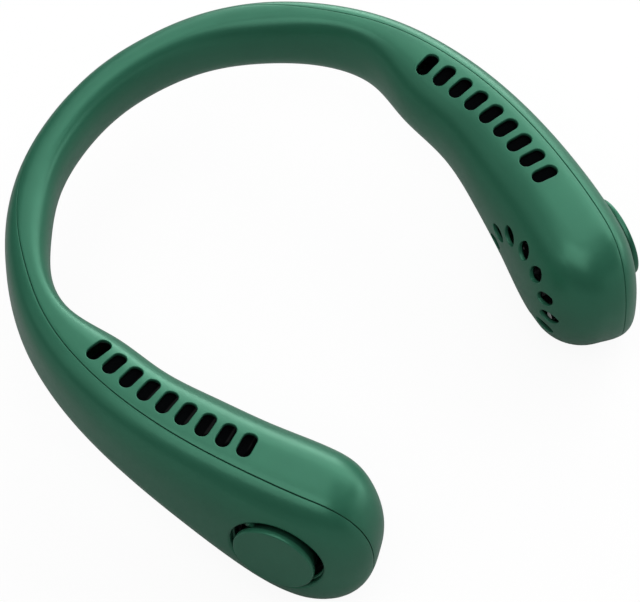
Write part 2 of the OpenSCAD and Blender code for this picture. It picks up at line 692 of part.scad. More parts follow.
// Heads of the three screws of each blower
screw_head_r = 1.5;
screw_head_h = 1;
module blower_screws_right() {
  on_axis() round_arms() translate([screw_place, 0, 0]) {
    translate([0, 0, base_bottom - screw_head_h]) cylinder(h = screw_head_h, r = screw_head_r);
    translate([0, 0, base_bottom - screw_head_h / 2])
      cylinder(h = scroll_bottom - base_bottom + screw_head_h, r = boss_screw_r);
  }
}
module blower_screws() {
  color("#B9BDBF") {
    blower_screws_right();
    mirror([1, 0, 0]) blower_screws_right();
  }
}

// The air guide: a channel under the slots, closed at its far end, with a vane for each land
guide_inside = slot_l + slot_shift_first;
guide_lead = 5.5;
guide_tail = 4;
guide_from = slot_start - guide_lead;
guide_to = slot_start + (slot_count - 1) * slot_pitch + guide_tail;
guide_steps = 24;
function along_arm(across) = [for (i = [0:guide_steps])
  let (u = at_length(guide_from + (guide_to - guide_from) * i / guide_steps))
  spine(u) + outward(u) * across];
function strip(a, b) = let (far = along_arm(b))
  concat(along_arm(a), [for (i = [guide_steps:-1:0]) far[i]]);
guide_floor_z = pod_h - wall - duct_h - guide_t;
module air_guide_right() {
  left = -(slot_shift_first + slot_shift_last) / 2 - guide_inside / 2;
  right = left + guide_inside;
  color("#1F2324") intersection() {
    arm_space(at_length(guide_from), space_depth, 24);
    union() {
      translate([0, 0, guide_floor_z]) {
        linear_extrude(guide_t) polygon(strip(left - guide_t, right + guide_t));
        linear_extrude(2 * duct_h) polygon(strip(left - guide_t, left));
        linear_extrude(2 * duct_h) polygon(strip(right, right + guide_t));
      }
      for (i = [0:slot_count - 1]) {
        u = at_length(slot_start + (i + 0.5) * slot_pitch);
        on_arm(u, top_z(u) - space_depth) rotate([0, 0, -vane_lean])
          translate([0, -vane_h, left - guide_t / 2]) cube([vane_t, vane_h, guide_inside + guide_t]);
      }
    }
  }
}

cell_u = at_length(cell_along);
cell_z = (top_z(cell_u) + bottom_z(cell_u)) / 2;
cell_end_u = at_length(cell_along + cell_l / 2);
cell_bow = -local_across(cell_u, cell_end_u, 0);
// The cell and its pad sit a little inwards, so that their ends clear the outer wall
cell_back = -(cell_t + foam_t + cell_bow) / 2;
cell_front = cell_back + cell_t;
cell_corners = [[cell_u, cell_back], [cell_end_u, cell_front + foam_t + cell_bow]];
cell_half_h = min([for (side = [-1, 1]) for (p = cell_corners)
  abs(height_at(p[0], p[1], space_depth, side) - cell_z)]);
module slab(length, height, thickness) {
  translate([-length / 2, -height / 2, 0]) cube([length, height, thickness]);
}
module battery_cell_right() {
  color("#A8ABB0") on_arm(cell_u, cell_z) translate([0, 0, cell_back])
    slab(cell_l, 2 * cell_half_h, cell_t);
}
module foam_pad_right() {
  color("#2A2A2A") on_arm(cell_u, cell_z) translate([0, 0, cell_front])
    slab(cell_l, 2 * cell_half_h, foam_t);
}

// Controls on the outer side of the right arm
button_u = at_length(button_along);
button_z = pod_h * (1 - button_drop_share);
button_face = side_across(button_u, button_z, 0, 1);
button_seat = side_across(button_u, button_z, wall, 1);
// The button's flange under the housing, and its rounded rim
flange_gap = 0.6;
flange_t = 0.8;
flange_w = 1.2;
button_edge = 0.4;
flange_top = button_seat - flange_gap;
plunger_top = flange_top - flange_t;
// The switch and its plunger
plunger_r = 1.1;
plunger_in = 0.7;
switch_gap = 0.4;
switch_w = 4.6;
switch_h = 1.9;
switch_clear = 0.1;
switch_top = plunger_top - button_travel - switch_gap;
board_front = switch_top - switch_h;
board_back = board_front - board_t;
// Posts of the housing that the board sits on
post_r = 1.5;
post_edge = 1;
post_place = board_l / 2 - post_r - post_edge;
// The lamps and their window
lamp_place = 8.8;
lamp_l = 4.4;
lamp_w = 1.4;
led_l = 1;
led_w = 0.6;
lamp_h = 0.7;
lamp_count = 3;
lamp_clear = 0.1;
lamp_recess = 0.15;
// The charging socket and its tongue
usb_w = 8.9;
usb_t = 3.2;
usb_l = 7.3;
usb_wall = 0.3;
usb_place = -10.2;
usb_recess = 0.3;
usb_clear = 0.25;
tongue_w = 6.6;
tongue_t = 0.7;
tongue_l = 5;
module on_button() {
  on_arm(button_u, button_z) children();
}
module power_button() {
  cap_h = button_face + button_proud - flange_top;
  color("#25503F") on_button() translate([0, 0, flange_top]) {
    rotate_extrude() {
      square([button_r - button_edge, cap_h]);
      square([button_r, cap_h - button_edge]);
      translate([button_r - button_edge, cap_h - button_edge]) circle(button_edge);
    }
    translate([0, 0, -flange_t]) cylinder(h = flange_t, r = button_r + flange_w);
  }
}
module switch_plunger() {
  color("#1B1B1B") on_button() translate([0, 0, switch_top - plunger_in])
    cylinder(h = plunger_top - switch_top + plunger_in, r = plunger_r);
}
module tact_switch() {
  color("#B4B8BA") on_button() difference() {
    translate([0, 0, board_front]) slab(switch_w, switch_w, switch_h);
    translate([0, 0, switch_top - plunger_in - button_travel - switch_clear])
      cylinder(h = switch_h, r = plunger_r + switch_clear);
  }
}
board_drop = 2;
module main_board() {
  color("#1E6B3C") on_button() translate([0, -board_drop, board_back]) slab(board_l, board_h, board_t);
}
// Side of the largest chip, and the parts on the neck side of the board in shares of it:
// [place along, place up, length, height, thickness]
chip_side = 4;
chip_shares = [[-2.375, 0.3, 1, 1, 0.225], [-0.85, 0.15, 1.05, 1.05, 0.5],
  [0.65, 0.4, 0.75, 0.75, 0.2], [1.85, 0.3, 0.8, 0.6, 0.275]];
module board_chips() {
  color("#17181A") on_button() for (c = chip_side * chip_shares)
    translate([c[0], c[1], board_back - c[4]]) slab(c[2], c[3], c[4]);
}
usb_across = board_front + usb_t / 2;
// The socket's mouth lies under the higher of its two ends on the underside
function low_at(place) = height_at(at_length(button_along - place), usb_across, 0, -1);
usb_low = max(low_at(usb_place - usb_w / 2), low_at(usb_place + usb_w / 2)) + usb_recess - button_z;
module usb_port() {
  low = usb_low;
  color("#BFC3C6") on_button() translate([usb_place, low, board_front + usb_t / 2]) rotate([-90, 0, 0]) {
    difference() {
      obround(usb_w, usb_t, usb_l);
      translate([0, 0, -usb_wall]) obround(usb_w - 2 * usb_wall, usb_t - 2 * usb_wall, usb_l);
    }
    translate([-tongue_w / 2, -tongue_t / 2, usb_l - usb_wall - tongue_l])
      cube([tongue_w, tongue_t, tongue_l]);
  }
}
module indicator_leds() {
  step = (lamp_l - lamp_w) / (lamp_count - 1);
  color("#E6E2C8") on_button() for (i = [0:lamp_count - 1])
    translate([lamp_place + (i - (lamp_count - 1) / 2) * step, 0, board_front]) slab(led_l, led_w, lamp_h);
}
// The window's face lies under the lower of its two ends
function face_at(u) = local_across(button_u, u, side_across(u, button_z, 0, 1));
lamp_face = min(face_at(at_length(button_along - lamp_place - lamp_l / 2)),
  face_at(at_length(button_along - lamp_place + lamp_l / 2)));
module light_pipe() {
  low = board_front + lamp_h + seat_gap;
  color("#DDE6E2") on_button() translate([lamp_place, 0, low])
    obround(lamp_l, lamp_w, lamp_face - lamp_recess - low);
}
module control_openings() {
  on_button() {
    cylinder(h = 2 * pod_half_w, r = button_r + button_gap);
    translate([lamp_place, 0, 0]) obround(lamp_l + 2 * lamp_clear, lamp_w + 2 * lamp_clear, 2 * pod_half_w);
    translate([usb_place, -board_h / 2, board_front + usb_t / 2]) rotate([90, 0, 0])
      obround(usb_w + 2 * usb_clear, usb_t + 2 * usb_clear, pod_half_w);
  }
}
module board_posts() {
  on_button() for (x = [-post_place, post_place]) translate([x, 0, board_front])
    cylinder(h = button_seat + wall / 2 - board_front, r = post_r);
}

// A round lead along a route of points
wire_sides = 8;
module lead(route) {
  last = len(route) - 1;
  function way(i) = let (d = route[min(i + 1, last)] - route[max(i - 1, 0)]) d / norm(d);
  points = [for (i = [0:last])
    let (t = way(i), s = cross(t, [0, 0, 1]), side = s / norm(s), up = cross(side, t))
    for (j = [0:wire_sides - 1]) let (turn = 360 / wire_sides * j)
    route[i] + wire_r * (cos(turn) * side + sin(turn) * up)];
  bands = [for (i = [0:last - 1], j = [0:wire_sides - 1])
    let (a = i * wire_sides + j, b = i * wire_sides + (j + 1) % wire_sides)
    each [[a, b, b + wire_sides], [a, b + wire_sides, a + wire_sides]]];
  ends = [for (j = [1:wire_sides - 2]) each [[0, j + 1, j],
    [last * wire_sides, last * wire_sides + j, last * wire_sides + j + 1]]];
  polyhedron(points, concat(bands, ends));
}
function ease(x) = let (q = min(max(x, 0), 1)) q * q * (3 - 2 * q);
function mix(a, b, q) = a + (b - a) * q;
// Place of a lead at a distance along the arms, negative on the left one
function lead_point(s, across, z) =
  let (q = placed(at_length(abs(s)), [across, z])) [sign(s) * q.x, q.y, q.z];
function floor_z(s, across) =
  height_at(at_length(abs(s)), across, space_depth, -1) + 1.5 * wire_r;
// Step of the leads' routes, their place across, and the length of a rise
lead_step = 6;
lead_side = 1.4;
rise_length = 14;
lead_up = 4;
motor_lead_z = axis_z + lead_up;
motor_end = intake_along - sqrt(base_r * base_r - lead_up * lead_up) - wire_r - seat_gap;
motor_lead_across = base_top + motor_board_t / 2;
board_lead_across = board_back - wire_r - seat_gap;
lead_in = 3;
board_near = button_along - board_l / 2 + lead_in;
board_far = button_along + board_l / 2 - lead_in;
lead_board_z = button_z - board_drop - board_h / 3;
scroll_reach = wheel_r + wheel_gap + scroll_growth + 3 * scroll_t;
function to_motor(s) = ease((s - intake_along + scroll_reach + rise_length) / rise_length);
function to_board(s) = ease((s - board_near + rise_length) / rise_length);
// The left motor's leads run back along the left arm, through the band and into the right arm
function left_route() = let (n = ceil((motor_end + board_near) / lead_step)) [for (i = [0:n])
  let (s = mix(-motor_end, board_near, i / n), m = s < 0 ? to_motor(-s) : 0, b = s > 0 ? to_board(s) : 0)
  lead_point(s, mix(mix(-lead_side, motor_lead_across, m), board_lead_across, b),
    mix(mix(floor_z(s, -lead_side), motor_lead_z, m), lead_board_z, b))];
function right_route() = let (n = ceil(2 * (motor_end - board_far) / lead_step)) [for (i = [0:n])
  let (s = mix(board_far, motor_end, i / n),
    m = ease((s - board_far) / (intake_along - scroll_reach - board_far)))
  lead_point(s, mix(board_lead_across, motor_lead_across, m), mix(lead_board_z, motor_lead_z, m))];
function battery_route() = let (from = -(cell_along - cell_l / 2), to = board_near - rise_length / 2,
  n = ceil((to - from) / lead_step)) [for (i = [0:n])
  let (s = mix(from, to, i / n), b = ease((s - to + rise_length) / rise_length))
  lead_point(s, mix(lead_side, board_lead_across - 3 * wire_r, b),
    mix(floor_z(s, lead_side), lead_board_z - 3 * wire_r, b))];
module motor_wires_right() {
  color("#A63A32") lead(right_route());
}
module motor_wires_left() {
  color("#A63A32") lead(left_route());
}
module battery_wires() {
  color("#2B2B2E") lead(battery_route());
}

module intake_cap_left() { mirror([1, 0, 0]) intake_cap_right(); }
module impeller_left() { mirror([1, 0, 0]) impeller_right(); }
module rotor_cup_left() { mirror([1, 0, 0]) rotor_cup_right(); }
module magnet_ring_left() { mirror([1, 0, 0]) magnet_ring_right(); }
module shaft_left() { mirror([1, 0, 0]) shaft_right(); }
module bearing_sleeve_left() { mirror([1, 0, 0]) bearing_sleeve_right(); }
module stator_core_left() { mirror([1, 0, 0]) stator_core_right(); }
module motor_coils_left() { mirror([1, 0, 0]) motor_coils_right(); }
module motor_base_left() { mirror([1, 0, 0]) motor_base_right(); }
module motor_board_left() { mirror([1, 0, 0]) motor_board_right(); }
module blower_scroll_left() { mirror([1, 0, 0]) blower_scroll_right(); }
module air_guide_left() { mirror([1, 0, 0]) air_guide_right(); }
module battery_cell_left() { mirror([1, 0, 0]) battery_cell_right(); }
module foam_pad_left() { mirror([1, 0, 0]) foam_pad_right(); }

inner_shell();
outer_shell();
intake_cap_right();
intake_cap_left();
impeller_right();
impeller_left();
rotor_cup_right();
rotor_cup_left();
magnet_ring_right();
magnet_ring_left();
shaft_right();
shaft_left();
bearing_sleeve_right();
bearing_sleeve_left();
stator_core_right();
stator_core_left();
motor_coils_right();
motor_coils_left();
motor_base_right();
motor_base_left();
motor_board_right();
motor_board_left();
blower_scroll_right();
blower_scroll_left();
air_guide_right();
air_guide_left();
battery_cell_right();
battery_cell_left();
foam_pad_right();
foam_pad_left();
main_board();
board_chips();
usb_port();
tact_switch();
switch_plunger();
power_button();
indicator_leds();
light_pipe();
motor_wires_right();
motor_wires_left();
battery_wires();
blower_screws();
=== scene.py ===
import json
import math

import bpy
import numpy as np
from mathutils import Matrix, Vector
from mathutils.geometry import delaunay_2d_cdt


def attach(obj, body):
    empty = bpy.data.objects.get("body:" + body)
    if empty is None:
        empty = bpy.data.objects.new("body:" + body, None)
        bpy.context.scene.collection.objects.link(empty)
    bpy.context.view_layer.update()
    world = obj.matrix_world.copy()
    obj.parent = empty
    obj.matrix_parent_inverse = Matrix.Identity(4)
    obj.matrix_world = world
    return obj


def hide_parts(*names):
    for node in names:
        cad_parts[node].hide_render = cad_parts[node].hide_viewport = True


# Electric neck fan: the looks. The housing's two halves and the round discs are made again as
# smooth meshes from the same curves as the solids. The inner parts keep their solids.
# All lengths are in millimetres, and become metres when a mesh is made.

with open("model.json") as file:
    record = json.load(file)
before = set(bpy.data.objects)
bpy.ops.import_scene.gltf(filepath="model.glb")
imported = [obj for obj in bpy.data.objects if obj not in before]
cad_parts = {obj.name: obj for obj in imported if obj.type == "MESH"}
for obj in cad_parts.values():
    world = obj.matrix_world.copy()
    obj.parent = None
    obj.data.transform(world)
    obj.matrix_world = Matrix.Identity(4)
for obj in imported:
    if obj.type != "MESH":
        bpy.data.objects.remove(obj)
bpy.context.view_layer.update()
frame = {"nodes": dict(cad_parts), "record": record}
mm = 0.001

# Hoop
hoop_half_w = 80
hoop_depth = 175
band_half_w = 6.5
band_h = 22.5
pod_half_w = 18.5
pod_h = 54.5
tip_dip = 3
rest_cut = 0.5

# Shells
wall = 1.6
seam_gap = 0.25
lip_reach = 0.7
lip_t = 0.7

# Air slots
slot_count = 9
slot_start = 121.5
slot_pitch = 7.3
slot_w = 4.7
slot_l = 9
slot_shift_first = 2.7
slot_shift_last = 1

# Intakes
intake_along = 197.5
intake_drop = 27.4
intake_r = 15.4
cap_r = 13.5
cap_t = 1.8
cap_proud = 1.5
web_count = 2
petal_along = 196
petal_drop = 29.43
petal_count = 12
petal_ring_r = 16.8
petal_l = 7.3
petal_w = 5.4
petal_turn = 17

# Controls
board_l = 32
button_along = 150
button_drop = 19
button_r = 4
button_travel = 0.35
button_proud = 0.6
button_gap = 0.2
button_edge = 0.4
flange_gap = 0.6
flange_t = 0.8
flange_w = 1.2
switch_gap = 0.4
switch_h = 1.9
post_r = 1.5
post_inset = 1
lamp_place = 8.8
lamp_l = 4.4
lamp_w = 1.4
lamp_clear = 0.1
usb_w = 8.9
usb_t = 3.2
usb_place = -10.2
usb_clear = 0.25

# Curves, as shares of the lengths above
inner_exponent = 2.4
outer_exponent = 3.3
tip_exponent = 2.15
stations = 12
spine_x_shares = [0, 0.26, 0.5, 0.71, 0.87, 0.97, 0.995, 0.99, 0.95, 0.875, 0.8, 0.74, 0.68]
spine_y_shares = [1, 0.985, 0.95, 0.885, 0.795, 0.695, 0.585, 0.465, 0.345, 0.23, 0.135, 0.055, 0]
inner_swell_shares = [0, 0.01, 0.05, 0.16, -0.04, -0.05, 0.71, 0.6, 0.9, 0.9, 1.03, 0.88, 0.56]
outer_swell_shares = [0, -0.01, -0.01, 0.03, 0.09, 0.22, 0.46, 0.6, 0.7, 0.87, 0.97, 0.79, 0.53]
drop_shares = [0, 0.02, 0.05, 0.08, 0.115, 0.16, 0.24, 0.31, 0.49, 0.81, 1.02, 0.98, 0.89]
rise_shares = [0.2, 0.17, 0.12, 0.07, 0.05, 0.1, 0.2, 0.25, 0.25, 0.2, -0.05, -0.5, -1]
tip_share = 1.7
inner_belly_share = 0.08
outer_belly_share = -0.32
lean_share = -0.03
blend_start = 5
blend_length = 3
seam_angles = [62, 52, 32, 13, 3, 8, 13.5, 14.5, 15.5, 16.5, 17.5, 18.5, 19]
tip_overhang = 3.3

# Roundings that only the looks have
slot_round = 0.35
petal_round = 0.3
petal_corner = 0.3
intake_round = 1.1
control_round = 0.25
seam_round = 0.13
cap_edge = 0.45
cap_foot_edge = 0.15
web_edge = 0.2
button_dish = 0.25
dish_r = 3
dish_steps = 5
round_steps = 4

# Rows of the sheets, and the section angles and rows where their spacing changes
inner_rows = 30
outer_rows = 18
inner_knee = -10
inner_knee_row = 6
outer_knee = 35
outer_knee_step = 6
outer_knee_row = 3

# Patches round the holes: how far they reach along the arm, their first row, and their spacing
disc_patch_reach = 21
disc_patch_row = 6
disc_spacing = 1.1
button_patch_back = 15
button_patch_front = 8
button_patch_row = 9
button_spacing = 0.8
usb_patch_reach = 8
usb_patch_rows = 9
usb_spacing = 0.7
slot_patch_reach = 5
slot_patch_rows = (1, 13, 0)
slot_back_rows = (0, 16, 0)
slot_spacing = 0.75
petal_patch_reach = 24
petal_patch_rows = (13, inner_rows, 10)
petal_back_rows = (16, inner_rows, 8)
petal_spacing = 0.9
rim_clear_share = 0.6
hole_clear_share = 0.5

# Points round the circles
disc_steps = 144
ring_steps = 120
button_steps = 72
button_hole_steps = 64
post_steps = 32

# Searches for a surface point
probe = 0.05
side_turns = 14
plan_turns = 12
halvings = 40
side_limit = 0.985
most_along = 0.5
most_up = 0.3
most_miss = 0.01
on_mirror = 1e-6
weld = 1e-7
tiny = 1e-12


# Cubic B-spline through the stations
def mixed(shares, u, sign=1, slope=False):
    u = np.asarray(u, float)
    first = np.clip(np.floor(u), 0, stations - 1).astype(int)
    f = u - first
    line = np.array([sign * shares[1]] + list(shares) + [2 * shares[-1] - shares[-2]], float)
    if slope:
        w = (-3 * (1 - f) ** 2, 9 * f * f - 12 * f, 6 * f + 3 - 9 * f * f, 3 * f * f)
    else:
        w = ((1 - f) ** 3, 3 * f ** 3 - 6 * f * f + 4, 3 * f + 3 * f * f + 1 - 3 * f ** 3, f ** 3)
    return sum(line[first + k] * w[k] for k in range(4)) / 6


spine_front = (tip_overhang - hoop_depth - band_half_w) / 2


def spine(u):
    return np.stack([hoop_half_w * mixed(spine_x_shares, u, -1),
                     spine_front + hoop_depth * mixed(spine_y_shares, u)], -1)


def heading(u):
    d = np.stack([hoop_half_w * mixed(spine_x_shares, u, -1, True),
                  hoop_depth * mixed(spine_y_shares, u, 1, True)], -1)
    return d / np.linalg.norm(d, axis=-1, keepdims=True)


def outward(u):
    h = heading(u)
    return np.stack([-h[..., 1], h[..., 0]], -1)


# Length of arm for each station, near one place
def arm_step(u):
    return np.linalg.norm(spine(u + probe) - spine(u - probe)) / (2 * probe)


table_steps = 10
table_u = np.arange(table_steps * stations + 1) / table_steps
table_s = np.concatenate([[0], np.cumsum(np.linalg.norm(np.diff(spine(table_u), axis=0), axis=1))])


def at_length(s):
    return np.interp(s, table_s, table_u)


def inner_w(u):
    return band_half_w + (pod_half_w - band_half_w) * mixed(inner_swell_shares, u)


def outer_w(u):
    return band_half_w + (pod_half_w - band_half_w) * mixed(outer_swell_shares, u)


def top_z(u):
    return pod_h + tip_dip * mixed(rise_shares, u)


deepest_share = mixed(drop_shares, table_u).max()


def bottom_z(u):
    return pod_h - band_h - (pod_h + rest_cut - band_h) * mixed(drop_shares, u) / deepest_share


def blend(u):
    q = np.clip((np.asarray(u, float) - blend_start) / blend_length, 0, 1)
    return q * q * (3 - 2 * q)


tip_start = stations - tip_share
tip_slope = np.array([hoop_half_w * mixed(spine_x_shares, tip_start, -1, True),
                      hoop_depth * mixed(spine_y_shares, tip_start, 1, True)])
tip_step = np.linalg.norm(tip_slope)


# A section point from its shares: m sideways and k upwards, both from 0 to 1 in size
def from_shares(u, m, k_side, outer, depth):
    w = np.where(outer, outer_w(u), inner_w(u)) - depth
    high = top_z(u) - depth
    low = bottom_z(u) + depth
    h = (high - low) / 2
    belly = np.where(outer, outer_belly_share, inner_belly_share) * blend(u)
    dz = h * (k_side + belly * np.abs(m) * (1 - np.abs(k_side)))
    return w * m + lean_share * dz, (high + low) / 2 + dz


def placed(u, across, z):
    c = spine(u) + outward(u) * across[..., None]
    return np.stack([c[..., 0], c[..., 1], z], -1)


def angle_shares(phi):
    p = np.radians(phi)
    e = 2 / np.where(phi > 0, outer_exponent, inner_exponent)
    return np.sign(phi) * np.abs(np.sin(p)) ** e, np.clip(np.cos(p), 0, 1) ** e


def skin(u, along, side, phi, depth):
    m, k = angle_shares(phi)
    v = u + (tip_share - depth / tip_step) * k * along
    across, z = from_shares(v, m, k * side, phi > 0, depth)
    return placed(v, across, z)


# Polar angle of a section point, 0 on top and 90 on the side, and back to the section angle
def polar(phi):
    m, k = angle_shares(np.asarray(phi, float))
    return np.degrees(np.arctan2(np.abs(m), k))


def from_polar(theta):
    n = np.where(theta > 0, outer_exponent, inner_exponent)
    s, c = np.abs(np.sin(np.radians(theta))), np.abs(np.cos(np.radians(theta)))
    m = s / (s ** n + c ** n) ** (1 / n)
    return np.sign(theta) * np.degrees(np.arcsin(np.clip(m ** (n / 2), 0, 1)))


def seam_phi(u):
    return mixed(seam_angles, u)


seam_turn = seam_gap / pod_half_w * 90
lip_turn = lip_reach / pod_half_w * 90


# Chart of a side face: a flat frame at a station, x back along the arm, y up, looking along
# the outward normal. Finds the surface point over a place in the chart
class SideChart:
    def __init__(self, u, z, outer):
        self.u, self.z, self.outer = u, z, outer
        self.middle = spine(u)
        self.back = -heading(u)
        self.step = arm_step(u)

    def surface(self, v, k_side, depth):
        n = outer_exponent if self.outer else inner_exponent
        dv = np.maximum(v - tip_start, 0) / (tip_share - depth / tip_step)
        k = (dv ** tip_exponent + np.abs(k_side) ** tip_exponent) ** (1 / tip_exponent)
        m = np.maximum(1 - k ** n, 0) ** (1 / n) * (1 if self.outer else -1)
        across, z = from_shares(v, m, k_side, np.full(v.shape, self.outer), depth)
        return placed(v, across, z)

    def flat(self, points):
        d = points[..., :2] - self.middle
        return np.stack([d @ self.back, points[..., 2] - self.z], -1)

    def lift(self, xy, depth):
        depth = np.broadcast_to(np.asarray(depth, float), xy.shape[:1])
        v = self.u - xy[:, 0] / self.step
        half = (top_z(v) - bottom_z(v)) / 2
        k = (xy[:, 1] + self.z - (top_z(v) + bottom_z(v)) / 2) / half
        small = 1e-4
        for turn in range(side_turns):
            k = np.clip(k, -side_limit, side_limit)
            here = self.flat(self.surface(v, k, depth))
            by_v = (self.flat(self.surface(v + small, k, depth)) - here) / small
            by_k = (self.flat(self.surface(v, k + small, depth)) - here) / small
            miss = xy - here
            det = by_v[:, 0] * by_k[:, 1] - by_v[:, 1] * by_k[:, 0]
            dv = (miss[:, 0] * by_k[:, 1] - miss[:, 1] * by_k[:, 0]) / det
            dk = (by_v[:, 0] * miss[:, 1] - by_v[:, 1] * miss[:, 0]) / det
            v = v + np.clip(dv, -most_along, most_along)
            k = k + np.clip(dk, -most_up, most_up)
        left = np.abs(self.flat(self.surface(v, k, depth)) - xy).max()
        if left > most_miss:
            raise ValueError(f"side chart misses by {left:.3f} mm")
        return self.surface(v, k, depth)


# Chart of the top or the underside, seen in plan
class PlanChart:
    def __init__(self, u, side):
        self.u, self.side = u, side
        self.middle = spine(u)
        self.heading = heading(u)

    def flat(self, points):
        return points[..., :2].copy()

    def lift(self, xy, depth):
        depth = np.broadcast_to(np.asarray(depth, float), xy.shape[:1])
        step = arm_step(self.u)
        v = self.u + (xy - self.middle) @ self.heading / step
        for turn in range(plan_turns):
            along = ((xy - spine(v)) * heading(v)).sum(-1)
            v = v + np.clip(along / step, -most_along, most_along)
        across = ((xy - spine(v)) * outward(v)).sum(-1)
        low, high = np.full(v.shape, -90.0), np.full(v.shape, 90.0)
        for turn in range(halvings):
            phi = (low + high) / 2
            m, k = angle_shares(phi)
            a, z = from_shares(v, m, k * self.side, phi > 0, depth)
            over = a > across
            high = np.where(over, phi, high)
            low = np.where(over, low, phi)
        return placed(v, across, z)


# Closed outlines with a set number of points, grown by d
def arc_points(centre, r, start, end, steps):
    a = np.radians(np.linspace(start, end, steps + 1))
    return np.stack([centre[0] + r * np.cos(a), centre[1] + r * np.sin(a)], -1)


def obround(length, width, d, bend=12, straight=6):
    reach, r = (length - width) / 2, width / 2 + d
    ends = [arc_points((reach, 0), r, -90, 90, bend), arc_points((-reach, 0), r, 90, 270, bend)]
    shares = np.linspace(0, 1, straight + 1)[1:-1, None]
    out = []
    for i in (0, 1):
        out += [ends[i], ends[i][-1] + (ends[1 - i][0] - ends[i][-1]) * shares]
    return np.concatenate(out)


def circle(r, d, steps):
    return arc_points((0, 0), r + d, 0, 360, steps)[:-1]


# Leaf between two arcs along y, with its corners rounded
def leaf(length, width, corner, d, bend=14, turn=6):
    arc_r = (length * length + width * width) / (4 * width)
    off = arc_r - width / 2
    tip = math.sqrt((arc_r - corner) ** 2 - off * off)
    half = math.degrees(math.atan2(tip, off))
    r = arc_r + d
    right = arc_points((-off, 0), r, -half, half, bend)
    up = arc_points((0, tip), corner + d, half, 180 - half, turn)[1:-1]
    left = arc_points((off, 0), r, 180 - half, 180 + half, bend)
    down = arc_points((0, -tip), corner + d, 180 + half, 360 - half, turn)[1:-1]
    return np.concatenate([right, up, left, down])


def turned(points, degrees, shift):
    a = math.radians(degrees)
    c, s = math.cos(a), math.sin(a)
    x = points[:, 0] * c - points[:, 1] * s
    y = points[:, 0] * s + points[:, 1] * c
    return np.stack([x, y], -1) + shift


def inside(points, outline):
    x, y = points[:, 0][:, None], points[:, 1][:, None]
    ax, ay = outline[:, 0], outline[:, 1]
    bx, by = np.roll(ax, -1), np.roll(ay, -1)
    spans = (ay > y) != (by > y)
    with np.errstate(divide="ignore", invalid="ignore"):
        hit = x < (bx - ax) * (y - ay) / (by - ay) + ax
    return (spans & hit).sum(1) % 2 == 1


def far_from(points, outline, distance):
    a, b = outline, np.roll(outline, -1, 0)
    keep = np.ones(len(points), bool)
    for start, end in zip(a, b):
        d = end - start
        t = np.clip(((points - start) @ d) / max(d @ d, tiny), 0, 1)
        keep &= np.linalg.norm(points - start - t[:, None] * d, axis=1) > distance
    return keep


# A mesh under construction, with normals that are known for some of its points
class Build:
    def __init__(self):
        self.points, self.normals, self.faces = [], [], []

    def add(self, points, normals=None):
        start = len(self.points)
        self.points.extend(np.asarray(points, float))
        self.normals.extend(np.zeros((len(points), 3)) if normals is None else normals)
        return np.arange(start, start + len(points))

    def strip(self, a, b, closed=False, flip=False):
        n = len(a)
        for i in range(n if closed else n - 1):
            j = (i + 1) % n
            quad = [a[i], a[j], b[j], b[i]]
            ids = [q for k, q in enumerate(quad) if q != quad[k - 1]]
            if len(ids) > 2:
                self.faces.append(ids[::-1] if flip else ids)


# The grid of one sheet of a shell on the right arm
top_steps = 190
arc_steps = 56
grid_u = np.concatenate([tip_start * np.arange(top_steps + 1) / top_steps,
                         np.full(arc_steps - 1, tip_start),
                         tip_start * np.arange(top_steps, -1, -1) / top_steps])
grid_a = np.radians(90 - 180 * np.arange(1, arc_steps) / arc_steps)
grid_along = np.concatenate([np.zeros(top_steps + 1),
                             np.cos(grid_a) ** (2 / tip_exponent),
                             np.zeros(top_steps + 1)])
grid_side = np.concatenate([np.ones(top_steps + 1),
                            np.sign(np.sin(grid_a)) * np.abs(np.sin(grid_a)) ** (2 / tip_exponent),
                            -np.ones(top_steps + 1)])
grid_n = len(grid_u)
grid_seam = seam_phi(grid_u)


def row_of(s):
    return int(round(float(at_length(s)) / tip_start * top_steps))


# Rows run from a section angle near the seam, by a knee, to the widest line of the side
def sheet(build, start_phi, sign, rows, depth, cells, flip):
    ids = np.zeros((rows + 1, grid_n), int)
    start = polar(start_phi) * np.sign(start_phi)
    if sign > 0:
        knee, near = np.maximum(outer_knee, start + outer_knee_step), outer_knee_row
    else:
        knee, near = inner_knee, inner_knee_row
    for j in range(rows + 1):
        if j < near:
            theta = start + (knee - start) * j / near
        else:
            theta = knee + (sign * 90 - knee) * (j - near) / (rows - near) + np.zeros(grid_n)
        phi = from_polar(theta) if j else start_phi
        points = skin(grid_u, grid_along, grid_side, phi, depth)
        if j < rows:
            ids[j] = build.add(points)
        else:
            ids[j, :top_steps + 1] = build.add(points[:top_steps + 1])
            ids[j, top_steps + 1:top_steps + arc_steps] = ids[j, top_steps]
            ids[j, top_steps + arc_steps:] = ids[j, :top_steps + 1][::-1]
    gone = np.zeros((rows, grid_n - 1), bool)
    last = grid_n - 1
    for i0, i1, j0, j1, low in cells:
        if low and i1 == top_steps:
            gone[j0:, i0:last // 2] = True
            gone[low:, last // 2:last - i0] = True
        elif low:
            gone[j0:, i0:i1] = True
            gone[j0:, last - i1:last - i0] = True
        else:
            gone[j0:j1, i0:i1] = True
    for j in range(rows):
        for i in range(grid_n - 1):
            if gone[j, i]:
                continue
            quad = [ids[j, i], ids[j, i + 1], ids[j + 1, i + 1], ids[j + 1, i]]
            quad = [q for k, q in enumerate(quad) if q != quad[k - 1]]
            if len(quad) > 2:
                build.faces.append(quad[::-1] if flip else quad)
    return ids


